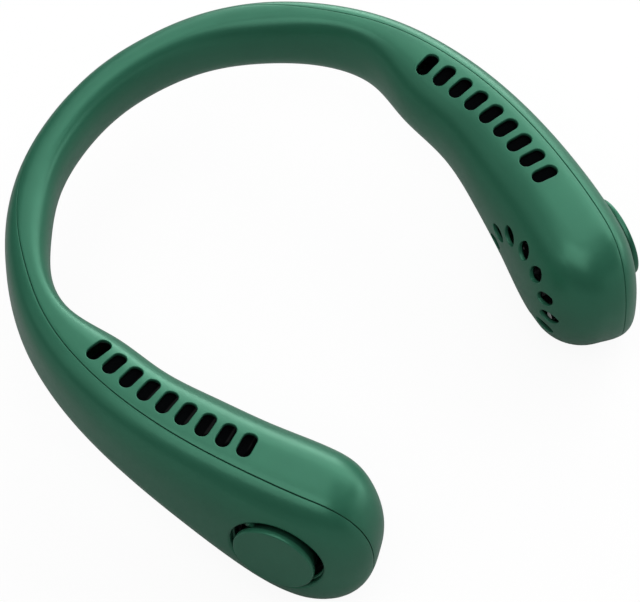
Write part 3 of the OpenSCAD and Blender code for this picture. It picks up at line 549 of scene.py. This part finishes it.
# Points round a patch. A patch round the tip may start at another row on the underside
def border(ids, rows, cells):
    i0, i1, j0, j1, low = cells
    last = grid_n - 1
    if not low:
        return np.concatenate([ids[j0, i0:i1], ids[j0:j1, i1], ids[j1, i1:i0:-1], ids[j1:j0:-1, i0]])
    if i1 == top_steps:
        middle = last // 2
        over = np.concatenate([ids[j0, i0:middle], ids[j0:low:-1, middle], ids[low, middle:last - i0],
                               ids[low:rows, last - i0]])
    else:
        over = np.concatenate([ids[j0, i0:i1], ids[j0:rows, i1], ids[rows:j0:-1, last - i1],
                               ids[j0, last - i1:last - i0], ids[j0:rows, last - i0]])
    return np.concatenate([over, ids[rows:j0:-1, i0]])


# Fills a patch with triangles round its holes. Returns the points' numbers on each hole's edge
def fill(build, chart, edge_ids, holes, grow, depth, spacing, flip):
    points = np.array([build.points[i] for i in edge_ids])
    rim = chart.flat(points)
    loops = [hole(g) for hole, g in zip(holes, grow)]
    low, high = rim.min(0), rim.max(0)
    xs = np.arange(low[0], high[0], spacing)
    ys = np.arange(low[1], high[1], spacing * math.sqrt(3) / 2)
    grid = np.array([(x + (spacing / 2 if r % 2 else 0), y) for r, y in enumerate(ys) for x in xs])
    grid = grid[inside(grid, rim)]
    grid = grid[far_from(grid, rim, spacing * rim_clear_share)]
    for loop in loops:
        grid = grid[~inside(grid, loop)]
        grid = grid[far_from(grid, loop, spacing * hole_clear_share)]
    flat = np.concatenate([rim] + loops + [grid])
    edges, starts, at = [], [], 0
    for loop in [rim] + loops:
        n = len(loop)
        starts.append((at, n))
        edges += [(at + i, at + (i + 1) % n) for i in range(n)]
        at += n
    centre = flat.mean(0)
    made = delaunay_2d_cdt([Vector(p - centre) for p in flat], edges, [], 0, weld, True)
    origin = made[3]
    if len(made[0]) != len(flat):
        raise ValueError(f"patch has {len(flat)} points and came back with {len(made[0])}")
    name = [o[0] for o in origin]
    middles = np.array([flat[[name[i] for i in f]].mean(0) for f in made[2]])
    keep = inside(middles, rim)
    for loop in loops:
        keep &= ~inside(middles, loop)
    new = flat[len(rim):]
    lifted = chart.lift(new, depth)
    small = 0.02
    by_x = chart.lift(new + (small, 0), depth) - lifted
    by_y = chart.lift(new + (0, small), depth) - lifted
    normals = np.cross(by_x, by_y)
    normals /= np.linalg.norm(normals, axis=1, keepdims=True)
    if flip:
        normals = -normals
    ids = np.concatenate([edge_ids, build.add(lifted, normals)])
    for f, k in zip(made[2], keep):
        if not k:
            continue
        tri = [name[i] for i in f]
        a, b, c = flat[tri]
        turn = (b[0] - a[0]) * (c[1] - a[1]) - (b[1] - a[1]) * (c[0] - a[0])
        if abs(turn) < tiny:
            continue
        tri = [int(ids[i]) for i in tri]
        build.faces.append(tri[::-1] if (turn < 0) != flip else tri)
    return [ids[s:s + n] for s, n in starts[1:]]


def smooth_normals(points, faces, known):
    total = np.zeros_like(points)
    for size in (3, 4):
        chosen = np.array([f for f in faces if len(f) == size])
        if not len(chosen):
            continue
        corners = points[chosen]
        n = np.cross(corners[:, 2] - corners[:, 0], corners[:, -1] - corners[:, size - 3])
        for k in range(size):
            before = corners[:, k - 1] - corners[:, k]
            after = corners[:, (k + 1) % size] - corners[:, k]
            lengths = np.linalg.norm(before, axis=1) * np.linalg.norm(after, axis=1)
            cos = (before * after).sum(1) / np.maximum(lengths, tiny)
            angle = np.arccos(np.clip(cos, -1, 1))
            unit = n / np.maximum(np.linalg.norm(n, axis=1, keepdims=True), tiny)
            np.add.at(total, chosen[:, k], unit * angle[:, None])
    total /= np.maximum(np.linalg.norm(total, axis=1, keepdims=True), tiny)
    given = np.linalg.norm(known, axis=1) > 0.5
    total[given] = known[given]
    return total


# One visible mesh on a body, in place of its solids
def piece(name, builds, body, slot, nodes):
    points, normals, faces, at = [], [], [], 0
    for b in builds:
        points.append(np.array(b.points))
        normals.append(np.array(b.normals))
        faces += [[int(i) + at for i in f] for f in b.faces]
        at += len(b.points)
    points, known = np.concatenate(points), np.concatenate(normals)
    # Points of the two arms that meet on the mirror plane become one
    key = {}
    merged = np.arange(len(points))
    for i in np.nonzero(np.abs(points[:, 0]) < on_mirror)[0]:
        merged[i] = key.setdefault(tuple(np.round(points[i], 4)), i)
    faces = [[int(merged[i]) for i in f] for f in faces]
    used = np.unique(np.concatenate([np.array(f) for f in faces]))
    number = np.full(len(points), -1)
    number[used] = np.arange(len(used))
    points, known = points[used], known[used]
    faces = [[int(number[i]) for i in f] for f in faces]
    normals = smooth_normals(points, faces, known)
    mesh = bpy.data.meshes.new(name)
    mesh.from_pydata([tuple(p) for p in points * mm], [], faces)
    mesh.update()
    mesh.polygons.foreach_set("use_smooth", [True] * len(mesh.polygons))
    mesh.normals_split_custom_set_from_vertices([tuple(n) for n in normals])
    mesh.materials.append(finishes[slot])
    obj = bpy.data.objects.new(name, mesh)
    bpy.context.scene.collection.objects.link(obj)
    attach(obj, body)
    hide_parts(*nodes)


def mirrored(build):
    other = Build()
    other.points = [p * (-1, 1, 1) for p in build.points]
    other.normals = [np.asarray(n) * (-1, 1, 1) for n in build.normals]
    other.faces = [f[::-1] for f in build.faces]
    return other


# Rounded edge and wall of each hole, from the outer sheet to the inner one
def hole_walls(build, chart, outer_loops, inner_loops, holes, rounds, flip):
    for first, last, hole, r in zip(outer_loops, inner_loops, holes, rounds):
        before = first
        for i in range(1, round_steps + 1):
            a = math.radians(90 * i / round_steps)
            ring = build.add(chart.lift(hole(r * (1 - math.sin(a))), r * (1 - math.cos(a))))
            build.strip(before, ring, True, flip)
            before = ring
        middle = build.add(chart.lift(hole(0), (r + wall) / 2))
        build.strip(before, middle, True, flip)
        build.strip(middle, last, True, flip)


def seam_ring(build, phi, depth):
    return build.add(skin(grid_u, grid_along, grid_side, phi, depth))


# Section angle for a length along the skin at the seam
def seam_degrees(phi, length):
    small = 0.2
    here = skin(grid_u, grid_along, grid_side, phi, 0)
    there = skin(grid_u, grid_along, grid_side, phi + small, 0)
    return length * small / np.linalg.norm(there - here, axis=1)


pod_u = float(at_length(intake_along))
petal_u = float(at_length(petal_along))
button_u = float(at_length(button_along))
button_z = pod_h - button_drop
disc_z = pod_h - intake_drop


def side_across(u, z, depth, outer):
    p = SideChart(u, z, outer).lift(np.zeros((1, 2)), depth)[0]
    return float((p[:2] - spine(u)) @ outward(u))


button_face = side_across(button_u, button_z, 0, True)
button_seat = side_across(button_u, button_z, wall, True)
flange_top = button_seat - flange_gap
board_front = flange_top - flange_t - button_travel - switch_gap - switch_h


# A patch with holes. Cells are the first and last place along the arm, the first and last row,
# and the first row on the underside where the patch crosses the widest line of the side.
# Behind the lip the hidden sheet is narrower, so some patches lie in other rows on it
def patch(chart, flip, cells, spacing, holes, rounds, back_rows=None):
    return {"chart": chart, "flip": flip, "cells": cells, "back_cells": cells[:2] + (back_rows or cells[2:]),
            "spacing": spacing, "holes": holes, "rounds": rounds}


def direction(vector):
    return math.degrees(math.atan2(vector[1], vector[0]))


def disc_hole(d):
    return circle(intake_r, d, disc_steps)


def button_hole(d):
    return circle(button_r + button_gap, d, button_hole_steps)


def lamp_hole(d):
    return obround(lamp_l + 2 * lamp_clear, lamp_w + 2 * lamp_clear, d) + (lamp_place, 0)


def usb_hole(d):
    away = outward(button_u) * (board_front + usb_t / 2)
    base = spine(button_u) - heading(button_u) * usb_place + away
    outline = obround(usb_w + 2 * usb_clear, usb_t + 2 * usb_clear, d)
    return turned(outline, direction(heading(button_u)), base)


def outer_patches(right):
    cells = (row_of(intake_along - disc_patch_reach), top_steps, disc_patch_row, outer_rows, disc_patch_row)
    chart = SideChart(pod_u, disc_z, True)
    made = [patch(chart, False, cells, disc_spacing, [disc_hole], [intake_round])]
    if not right:
        return made
    cells = (row_of(button_along - button_patch_back), row_of(button_along + button_patch_front),
             button_patch_row, outer_rows, button_patch_row)
    made.append(patch(SideChart(button_u, button_z, True), False, cells, button_spacing,
                      [button_hole, lamp_hole], [control_round, control_round]))
    usb_along = button_along - usb_place
    last = grid_n - 1
    cells = (last - row_of(usb_along + usb_patch_reach), last - row_of(usb_along - usb_patch_reach),
             0, usb_patch_rows, 0)
    made.append(patch(PlanChart(float(at_length(usb_along)), -1), True, cells, usb_spacing,
                      [usb_hole], [control_round]))
    return made


def slot_hole(i):
    u = float(at_length(slot_start + i * slot_pitch))
    shift = slot_shift_first + (slot_shift_last - slot_shift_first) * i / (slot_count - 1)
    base = spine(u) - outward(u) * shift
    return lambda d: turned(obround(slot_l, slot_w, d), direction(outward(u)), base)


def petal_hole(i):
    a = math.radians(360 / petal_count * i)
    base = np.array([-math.sin(a), math.cos(a)]) * petal_ring_r
    return lambda d: turned(leaf(petal_l, petal_w, petal_corner, d), math.degrees(a) - petal_turn, base)


def inner_patches():
    last_slot = slot_start + (slot_count - 1) * slot_pitch
    chart = PlanChart(float(at_length((slot_start + last_slot) / 2)), 1)
    cells = (row_of(slot_start - slot_patch_reach), row_of(last_slot + slot_patch_reach)) + slot_patch_rows
    holes = [slot_hole(i) for i in range(slot_count)]
    made = [patch(chart, False, cells, slot_spacing, holes, [slot_round] * slot_count, slot_back_rows)]
    chart = SideChart(petal_u, pod_h - petal_drop, False)
    cells = (row_of(petal_along - petal_patch_reach), top_steps) + petal_patch_rows
    holes = [petal_hole(i) for i in range(petal_count)]
    made.append(patch(chart, True, cells, petal_spacing, holes, [petal_round] * petal_count, petal_back_rows))
    return made


# One arm of a shell: the visible sheet, the hidden one on the inside of the wall, the walls of
# the holes between them, and the rounded seam with its lip
def shell_arm(outer, patches, rows):
    build = Build()
    sign = 1 if outer else -1
    edge = grid_seam + (seam_turn if outer else 0)
    step = seam_degrees(edge, seam_round)
    lip_phi = grid_seam - lip_turn - (0 if outer else seam_turn)
    lip_depth = wall - lip_t if outer else wall - lip_t - seam_gap
    shown = sheet(build, edge + sign * step, sign, rows, 0, [p["cells"] for p in patches], not outer)
    hidden = sheet(build, lip_phi, sign, rows, wall, [p["back_cells"] for p in patches], outer)
    for p in patches:
        chart, holes, flip, spacing = p["chart"], p["holes"], p["flip"], p["spacing"]
        rim = border(shown, rows, p["cells"])
        tops = fill(build, chart, rim, holes, p["rounds"], 0, spacing, flip)
        rim = border(hidden, rows, p["back_cells"])
        backs = fill(build, chart, rim, holes, [0] * len(holes), wall, spacing, not flip)
        hole_walls(build, chart, tops, backs, holes, p["rounds"], flip)
    before = shown[0]
    for i in range(1, round_steps + 1):
        a = math.radians(90 * i / round_steps)
        ring = seam_ring(build, edge + sign * step * (1 - math.sin(a)), seam_round * (1 - math.cos(a)))
        build.strip(ring, before, False, not outer)
        before = ring
    for phi in (edge, lip_phi):
        ring = seam_ring(build, phi, lip_depth)
        build.strip(ring, before, False, not outer)
        before = ring
    build.strip(hidden[0], before, False, not outer)
    build.points = [p * (1, 1, p[2] > 0) for p in build.points]
    return build


# Frame on the right arm: x back along the arm, y up, z outwards, tilted up by some degrees
def on_arm(u, z, tilt=0):
    back, out = -heading(u), outward(u)
    t = math.radians(tilt)
    x = np.array([back[0], back[1], 0])
    y = np.array([-out[0] * math.sin(t), -out[1] * math.sin(t), math.cos(t)])
    w = np.array([out[0] * math.cos(t), out[1] * math.cos(t), math.sin(t)])
    return np.array([*spine(u), z]), np.stack([x, y, w])


def lathe(build, place, profile, steps):
    origin, axes = place
    angles = np.radians(np.arange(steps) * 360 / steps)
    before = None
    for r, h in profile:
        if r == 0:
            points = np.array([[0, 0, h]])
        else:
            points = np.stack([r * np.cos(angles), r * np.sin(angles), np.full(steps, h)], -1)
        ids = build.add(points @ axes + origin)
        if len(ids) == 1:
            ids = np.repeat(ids, steps)
        if before is not None:
            build.strip(before, ids, True)
        before = ids


# Profile of a rounded rim, from its foot to the face
def rounded(r, h, edge, steps=5):
    return [(r - edge + edge * math.cos(a), h - edge + edge * math.sin(a))
            for a in np.radians(np.linspace(0, 90, steps + 1))]


# Box with its edges cut back, in the frame's own directions
def block(build, place, low, high, edge):
    origin, axes = place
    x0, y0, z0 = low
    x1, y1, z1 = high
    rings = []
    for z, e in ((z0, edge), (z0 + edge, 0), (z1 - edge, 0), (z1, edge)):
        corners = [(x0 + e, y0 + edge), (x0 + edge, y0 + e), (x1 - edge, y0 + e), (x1 - e, y0 + edge),
                   (x1 - e, y1 - edge), (x1 - edge, y1 - e), (x0 + edge, y1 - e), (x0 + e, y1 - edge)]
        points = np.array([(x, y, z) for x, y in corners])
        rings.append(build.add(points @ axes + origin))
    for a, b in zip(rings, rings[1:]):
        build.strip(a, b, True)
    build.faces.append([int(i) for i in rings[0][::-1]])
    build.faces.append([int(i) for i in rings[-1]])


# Discs in the intakes, held by webs that cross the gap round them
cap_skirt_h = 4
cap_skirt_t = 1
cap_web_t = 1.2
cap_web_w = 2.4
cap_web_sink = 3
cap_web_rise = 2
cap_web_angle = 45
cap_ring_gap = 0.3
cap_ring_w = 1
cap_back_sink = 0.01
seat_gap = 0.3
cap_low = side_across(pod_u, disc_z - cap_r, 0, True)
cap_high = side_across(pod_u, disc_z + cap_r, 0, True)
cap_tilt = math.degrees(math.atan2(cap_low - cap_high, 2 * cap_r))


def intake_cap():
    build = Build()
    face = side_across(pod_u, disc_z, 0, True) + cap_proud - cap_t
    origin, axes = on_arm(pod_u, disc_z, cap_tilt)
    place = (origin + axes[2] * face, axes)
    profile = [(0, -cap_back_sink), (cap_r - 2 * cap_skirt_t, -cap_back_sink),
               (cap_r - 2 * cap_skirt_t, -cap_skirt_h), (cap_r - cap_skirt_t, -cap_skirt_h),
               (cap_r - cap_skirt_t, 0), (cap_r - cap_foot_edge, 0), (cap_r, cap_foot_edge)]
    profile += rounded(cap_r, cap_t, cap_edge)
    profile += [(cap_r - 2 * cap_edge, cap_t), (cap_r / 2, cap_t), (0, cap_t)]
    lathe(build, place, profile, disc_steps)
    chart = SideChart(pod_u, disc_z, True)
    reach = intake_r + cap_ring_gap + cap_ring_w
    for i in range(web_count):
        a = math.radians(cap_web_angle + 360 / web_count * i)
        turn = np.array([[math.cos(a), math.sin(a), 0], [-math.sin(a), math.cos(a), 0], [0, 0, 1]])
        low = -cap_web_sink - cap_web_t
        block(build, (place[0], turn @ axes), (cap_r - 1.5 * cap_skirt_t, -cap_web_w / 2, low),
              (intake_r - cap_ring_gap, cap_web_w / 2, low + cap_web_t + cap_web_rise), web_edge)
    # The ring behind the wall follows the wall's inside
    angles = np.radians(np.arange(ring_steps) * 360 / ring_steps)
    rings = []
    for r in (intake_r - cap_ring_gap, reach):
        flat = np.stack([r * np.cos(angles), r * np.sin(angles)], -1)
        top = chart.lift(flat, wall + seat_gap)
        high = np.minimum((top - place[0]) @ axes[2], -cap_web_sink)
        for h in (high, high - cap_web_t):
            points = np.stack([flat[:, 0], flat[:, 1], h], -1)
            rings.append(build.add(points @ axes + place[0]))
    for a, b in ((0, 1), (1, 3), (3, 2), (2, 0)):
        build.strip(rings[a], rings[b], True)
    return build


def button():
    build = Build()
    origin, axes = on_arm(button_u, button_z)
    place = (origin + axes[2] * flange_top, axes)
    high = button_face + button_proud - flange_top
    profile = [(0, -flange_t), (button_r + flange_w, -flange_t), (button_r + flange_w, 0), (button_r, 0)]
    profile += rounded(button_r, high, button_edge)
    for i in range(dish_steps, -1, -1):
        r = dish_r * i / dish_steps
        profile.append((r, high - button_dish * (1 - (r / (button_r - button_edge)) ** 2)))
    lathe(build, place, profile, button_steps)
    return build


def board_posts(build):
    post_place = board_l / 2 - post_r - post_inset
    origin, axes = on_arm(button_u, button_z)
    for x in (-post_place, post_place):
        place = (origin + axes[0] * x, axes)
        high = button_seat + wall / 2
        lathe(build, place, [(0, board_front), (post_r, board_front), (post_r, high), (0, high)], post_steps)


# Materials
def material(name):
    made = bpy.data.materials.new(name)
    made.use_nodes = True
    nodes, links = made.node_tree.nodes, made.node_tree.links
    shader = nodes["Principled BSDF"]
    place = nodes.new("ShaderNodeTexCoord")
    return made, nodes, links, shader, place.outputs["Object"]


def noise(nodes, links, place, scale, detail=2, roughness=0.5):
    made = nodes.new("ShaderNodeTexNoise")
    made.inputs["Scale"].default_value = scale
    made.inputs["Detail"].default_value = detail
    made.inputs["Roughness"].default_value = roughness
    links.new(place, made.inputs["Vector"])
    return made.outputs["Fac"]


def ramp(nodes, links, factor, low, high, start=0.3, end=0.7):
    made = nodes.new("ShaderNodeMapRange")
    for key, value in (("From Min", start), ("From Max", end), ("To Min", low), ("To Max", high)):
        made.inputs[key].default_value = value
    links.new(factor, made.inputs["Value"])
    return made.outputs["Result"]


def tint(nodes, links, factor, first, second):
    made = nodes.new("ShaderNodeMix")
    made.data_type = "RGBA"
    made.inputs["A"].default_value = (*first, 1)
    made.inputs["B"].default_value = (*second, 1)
    links.new(factor, made.inputs["Factor"])
    return made.outputs["Result"]


def bump(nodes, links, shader, heights, distances):
    last = None
    for height, distance in zip(heights, distances):
        made = nodes.new("ShaderNodeBump")
        made.inputs["Distance"].default_value = distance
        made.inputs["Strength"].default_value = 1
        links.new(height, made.inputs["Height"])
        if last:
            links.new(last, made.inputs["Normal"])
        last = made.outputs["Normal"]
    links.new(last, shader.inputs["Normal"])


def shade(color, by):
    return tuple(min(c * by, 1) for c in color)


# Depths of the grain in metres, and noise scales per metre
polished = 0.000001
fine_grain = 0.000004
brushed_grain = 0.000006
matte_grain = 0.00001
foam_grain = 0.00006
drift_scale = 45
gloss_scale = 700
grain_scale = 5200
metal_drift_scale = 120
window_scale = 900


# Moulded plastic: a fine spark-eroded grain, slow drifts of colour and gloss
def plastic(name, color, gloss_from, gloss_to, grain=fine_grain, drift=0.06, ior=1.5, pearl=0):
    made, nodes, links, shader, place = material(name)
    slow = noise(nodes, links, place, drift_scale, 3)
    fine = noise(nodes, links, place, grain_scale, 2, 0.6)
    middle = noise(nodes, links, place, gloss_scale, 3)
    drifted = ramp(nodes, links, slow, 0, 1)
    paint = tint(nodes, links, drifted, shade(color, 1 - drift), shade(color, 1 + drift))
    links.new(paint, shader.inputs["Base Color"])
    links.new(ramp(nodes, links, middle, gloss_from, gloss_to), shader.inputs["Roughness"])
    shader.inputs["IOR"].default_value = ior
    shader.inputs["Metallic"].default_value = pearl
    bump(nodes, links, shader, [fine, middle], [grain, grain * 1.5])
    return made


# Metal with brush marks, stretched along Z where brushed isn't 1
def metal(name, color, gloss_from, gloss_to, scale=900, brushed=1):
    made, nodes, links, shader, place = material(name)
    stretch = nodes.new("ShaderNodeMapping")
    stretch.inputs["Scale"].default_value = (1, 1, brushed)
    links.new(place, stretch.inputs["Vector"])
    fine = noise(nodes, links, stretch.outputs["Vector"], scale, 3)
    slow = noise(nodes, links, place, metal_drift_scale, 2)
    drifted = ramp(nodes, links, slow, 0, 1)
    paint = tint(nodes, links, drifted, shade(color, 0.92), shade(color, 1.06))
    links.new(paint, shader.inputs["Base Color"])
    links.new(ramp(nodes, links, fine, gloss_from, gloss_to), shader.inputs["Roughness"])
    shader.inputs["Metallic"].default_value = 1
    bump(nodes, links, shader, [fine], [brushed_grain])
    return made


# Clear plastic of the lamp window
def clear(name):
    made, nodes, links, shader, place = material(name)
    fine = noise(nodes, links, place, window_scale, 2)
    links.new(ramp(nodes, links, fine, 0.08, 0.2), shader.inputs["Roughness"])
    shader.inputs["Base Color"].default_value = (0.9, 0.95, 0.93, 1)
    shader.inputs["Transmission Weight"].default_value = 0.85
    shader.inputs["IOR"].default_value = 1.49
    bump(nodes, links, shader, [fine], [fine_grain])
    return made


# The dark green of the housing, with a faint pearl sheen
def shell_green(name, gloss_from, gloss_to):
    return plastic(name, (0.04, 0.195, 0.117), gloss_from, gloss_to, ior=1.38, pearl=0.33)


finishes = {
    "green_inner": shell_green("shell_green", 0.3, 0.36),
    "green_outer": shell_green("shell_green_outer", 0.3, 0.36),
    "green_cap": shell_green("cap_green", 0.28, 0.34),
    "black_glossy": plastic("black_gloss", (0.006, 0.007, 0.008), 0.06, 0.12, polished),
    "black_matte": plastic("black_matte", (0.012, 0.013, 0.014), 0.4, 0.55, matte_grain),
    "steel": metal("steel", (0.56, 0.57, 0.58), 0.25, 0.4, 1500, 0.1),
    "steel_bright": metal("steel_bright", (0.72, 0.73, 0.74), 0.12, 0.25),
    "steel_dark": metal("steel_dark", (0.2, 0.21, 0.22), 0.3, 0.5, 2500, 12),
    "magnet": metal("magnet", (0.1, 0.1, 0.105), 0.5, 0.7),
    "bronze": metal("bronze", (0.5, 0.3, 0.12), 0.35, 0.55),
    "copper": metal("copper", (0.7, 0.26, 0.1), 0.2, 0.35, 3000, 8),
    "board_green": plastic("board_green", (0.01, 0.1, 0.035), 0.25, 0.4),
    "pouch_foil": metal("pouch_foil", (0.6, 0.61, 0.63), 0.3, 0.45, 500),
    "foam": plastic("foam", (0.02, 0.02, 0.021), 0.85, 0.95, foam_grain),
    "chip_black": plastic("chip_black", (0.012, 0.012, 0.013), 0.45, 0.6),
    "lamp": plastic("lamp", (0.75, 0.72, 0.5), 0.2, 0.3),
    "clear": clear("window"),
    "wire_red": plastic("wire_red", (0.42, 0.03, 0.02), 0.35, 0.5),
    "wire_black": plastic("wire_black", (0.015, 0.015, 0.016), 0.35, 0.5),
}

inner_arm = shell_arm(False, inner_patches(), inner_rows)
piece("inner_housing", [inner_arm, mirrored(inner_arm)], "housing", "green_inner", ["inner_shell"])
outer_right = shell_arm(True, outer_patches(True), outer_rows)
board_posts(outer_right)
outer_left = mirrored(shell_arm(True, outer_patches(False), outer_rows))
piece("outer_housing", [outer_right, outer_left], "housing", "green_outer", ["outer_shell"])
disc = intake_cap()
piece("disc_right", [disc], "housing", "green_cap", ["intake_cap_right"])
piece("disc_left", [mirrored(disc)], "housing", "green_cap", ["intake_cap_left"])
piece("button_cap", [button()], "button", "green_cap", ["power_button"])
slots = {part["node"]: part["material_slot"] for part in frame["record"]["subparts"]}
for name, node in frame["nodes"].items():
    node.data.materials.clear()
    node.data.materials.append(finishes[slots[name]])

# Camera at the photograph's angle, in millimetres and pixels
camera_azimuth = -48.332
camera_elevation = 57.367
camera_roll = 1.562
camera_place = (-396.3, -365.05, 849.4)
focal_pixels = 3002.7
frame_width = 640


# Unit vector from the object towards an azimuth, with 0 in front, and an elevation
def towards(azimuth, elevation):
    a, e = math.radians(azimuth), math.radians(elevation)
    return Vector((math.sin(a) * math.cos(e), -math.cos(a) * math.cos(e), math.sin(e)))


back = towards(camera_azimuth, camera_elevation)
right = Vector((math.cos(math.radians(camera_azimuth)), math.sin(math.radians(camera_azimuth)), 0))
up = back.cross(right)
roll = math.radians(camera_roll)
turned_right = right * math.cos(roll) + up * math.sin(roll)
turned_up = up * math.cos(roll) - right * math.sin(roll)
lens = bpy.data.cameras.new("camera")
lens.sensor_width = 36
lens.lens = focal_pixels * lens.sensor_width / frame_width
lens.clip_start = 0.01
lens.clip_end = 20
camera = bpy.data.objects.new("camera", lens)
bpy.context.scene.collection.objects.link(camera)
pose = Matrix((turned_right, turned_up, back)).transposed().to_4x4()
pose.translation = Vector(camera_place) * mm
camera.matrix_world = pose
bpy.context.scene.camera = camera


# Shader node of one colour
def plain(nodes, kind, brightness, strength=None):
    made = nodes.new(kind)
    made.inputs["Color"].default_value = (brightness, brightness, brightness, 1)
    if strength is not None:
        made.inputs["Strength"].default_value = strength
    return made


# One shader for the camera's rays and another for all the others
def by_ray(nodes, links, others, seen, out):
    path = nodes.new("ShaderNodeLightPath")
    pick = nodes.new("ShaderNodeMixShader")
    links.new(path.outputs["Is Camera Ray"], pick.inputs["Fac"])
    links.new(others.outputs[0], pick.inputs[1])
    links.new(seen.outputs[0], pick.inputs[2])
    links.new(pick.outputs[0], out.inputs["Surface"])


# Floor: white to the camera with the object's faint shadow, and a middle grey for the light
floor_size = 30
floor_mesh = bpy.data.meshes.new("floor")
half = floor_size / 2
corners = [(-half, -half, 0), (half, -half, 0), (half, half, 0), (-half, half, 0)]
floor_mesh.from_pydata(corners, [], [(0, 1, 2, 3)])
floor = bpy.data.objects.new("floor", floor_mesh)
bpy.context.scene.collection.objects.link(floor)
floor_paint = bpy.data.materials.new("floor")
floor_paint.use_nodes = True
nodes, links = floor_paint.node_tree.nodes, floor_paint.node_tree.links
nodes.clear()
out = nodes.new("ShaderNodeOutputMaterial")
glow = plain(nodes, "ShaderNodeEmission", 1, 0.93)
shadowed = plain(nodes, "ShaderNodeBsdfDiffuse", 0.08)
both = nodes.new("ShaderNodeAddShader")
links.new(glow.outputs[0], both.inputs[0])
links.new(shadowed.outputs[0], both.inputs[1])
by_ray(nodes, links, plain(nodes, "ShaderNodeBsdfDiffuse", 0.5), both, out)
floor_mesh.materials.append(floor_paint)

# World: white to the camera, a plain grey for the light
world = bpy.data.worlds.new("world")
bpy.context.scene.world = world
world.use_nodes = True
nodes, links = world.node_tree.nodes, world.node_tree.links
nodes.clear()
out = nodes.new("ShaderNodeOutputWorld")
fill_light = plain(nodes, "ShaderNodeBackground", 1, 0.05)
by_ray(nodes, links, fill_light, plain(nodes, "ShaderNodeBackground", 1, 1), out)


# Softboxes that face the object: azimuth and elevation in degrees, size in metres, and radiance
lamp_distance = 1.6
light_level = 1.45


def softbox(name, azimuth, elevation, width, height, radiance):
    lamp = bpy.data.lights.new(name, "AREA")
    lamp.shape = "RECTANGLE"
    lamp.size = width
    lamp.size_y = height
    lamp.energy = light_level * radiance * math.pi * width * height
    obj = bpy.data.objects.new(name, lamp)
    bpy.context.scene.collection.objects.link(obj)
    away = towards(azimuth, elevation)
    obj.location = away * lamp_distance
    obj.rotation_mode = "QUATERNION"
    obj.rotation_quaternion = away.to_track_quat("Z", "Y")


for name, azimuth, elevation, width, height, radiance in (
        ("side_strip", 105, 8, 3.4, 0.75, 0.85),
        ("side_key", 120, 8, 0.9, 0.75, 2.3),
        ("front_side", 55, 8, 0.8, 0.75, 1.0),
        ("front", 15, 6, 1.1, 0.6, 0.3),
        ("side_high", 105, 36, 2.2, 1.0, 1.35),
        ("left_top", 292, 68, 1.7, 1.3, 1.0),
        ("right_top", 120, 68, 1.2, 0.75, 0.65),
        ("top", 0, 89, 1.4, 1.4, 0.35),
        ("left_back", 235, 38, 1.2, 1.0, 0.25)):
    softbox(name, azimuth, elevation, width, height, radiance)

bpy.context.scene.view_settings.view_transform = "Standard"
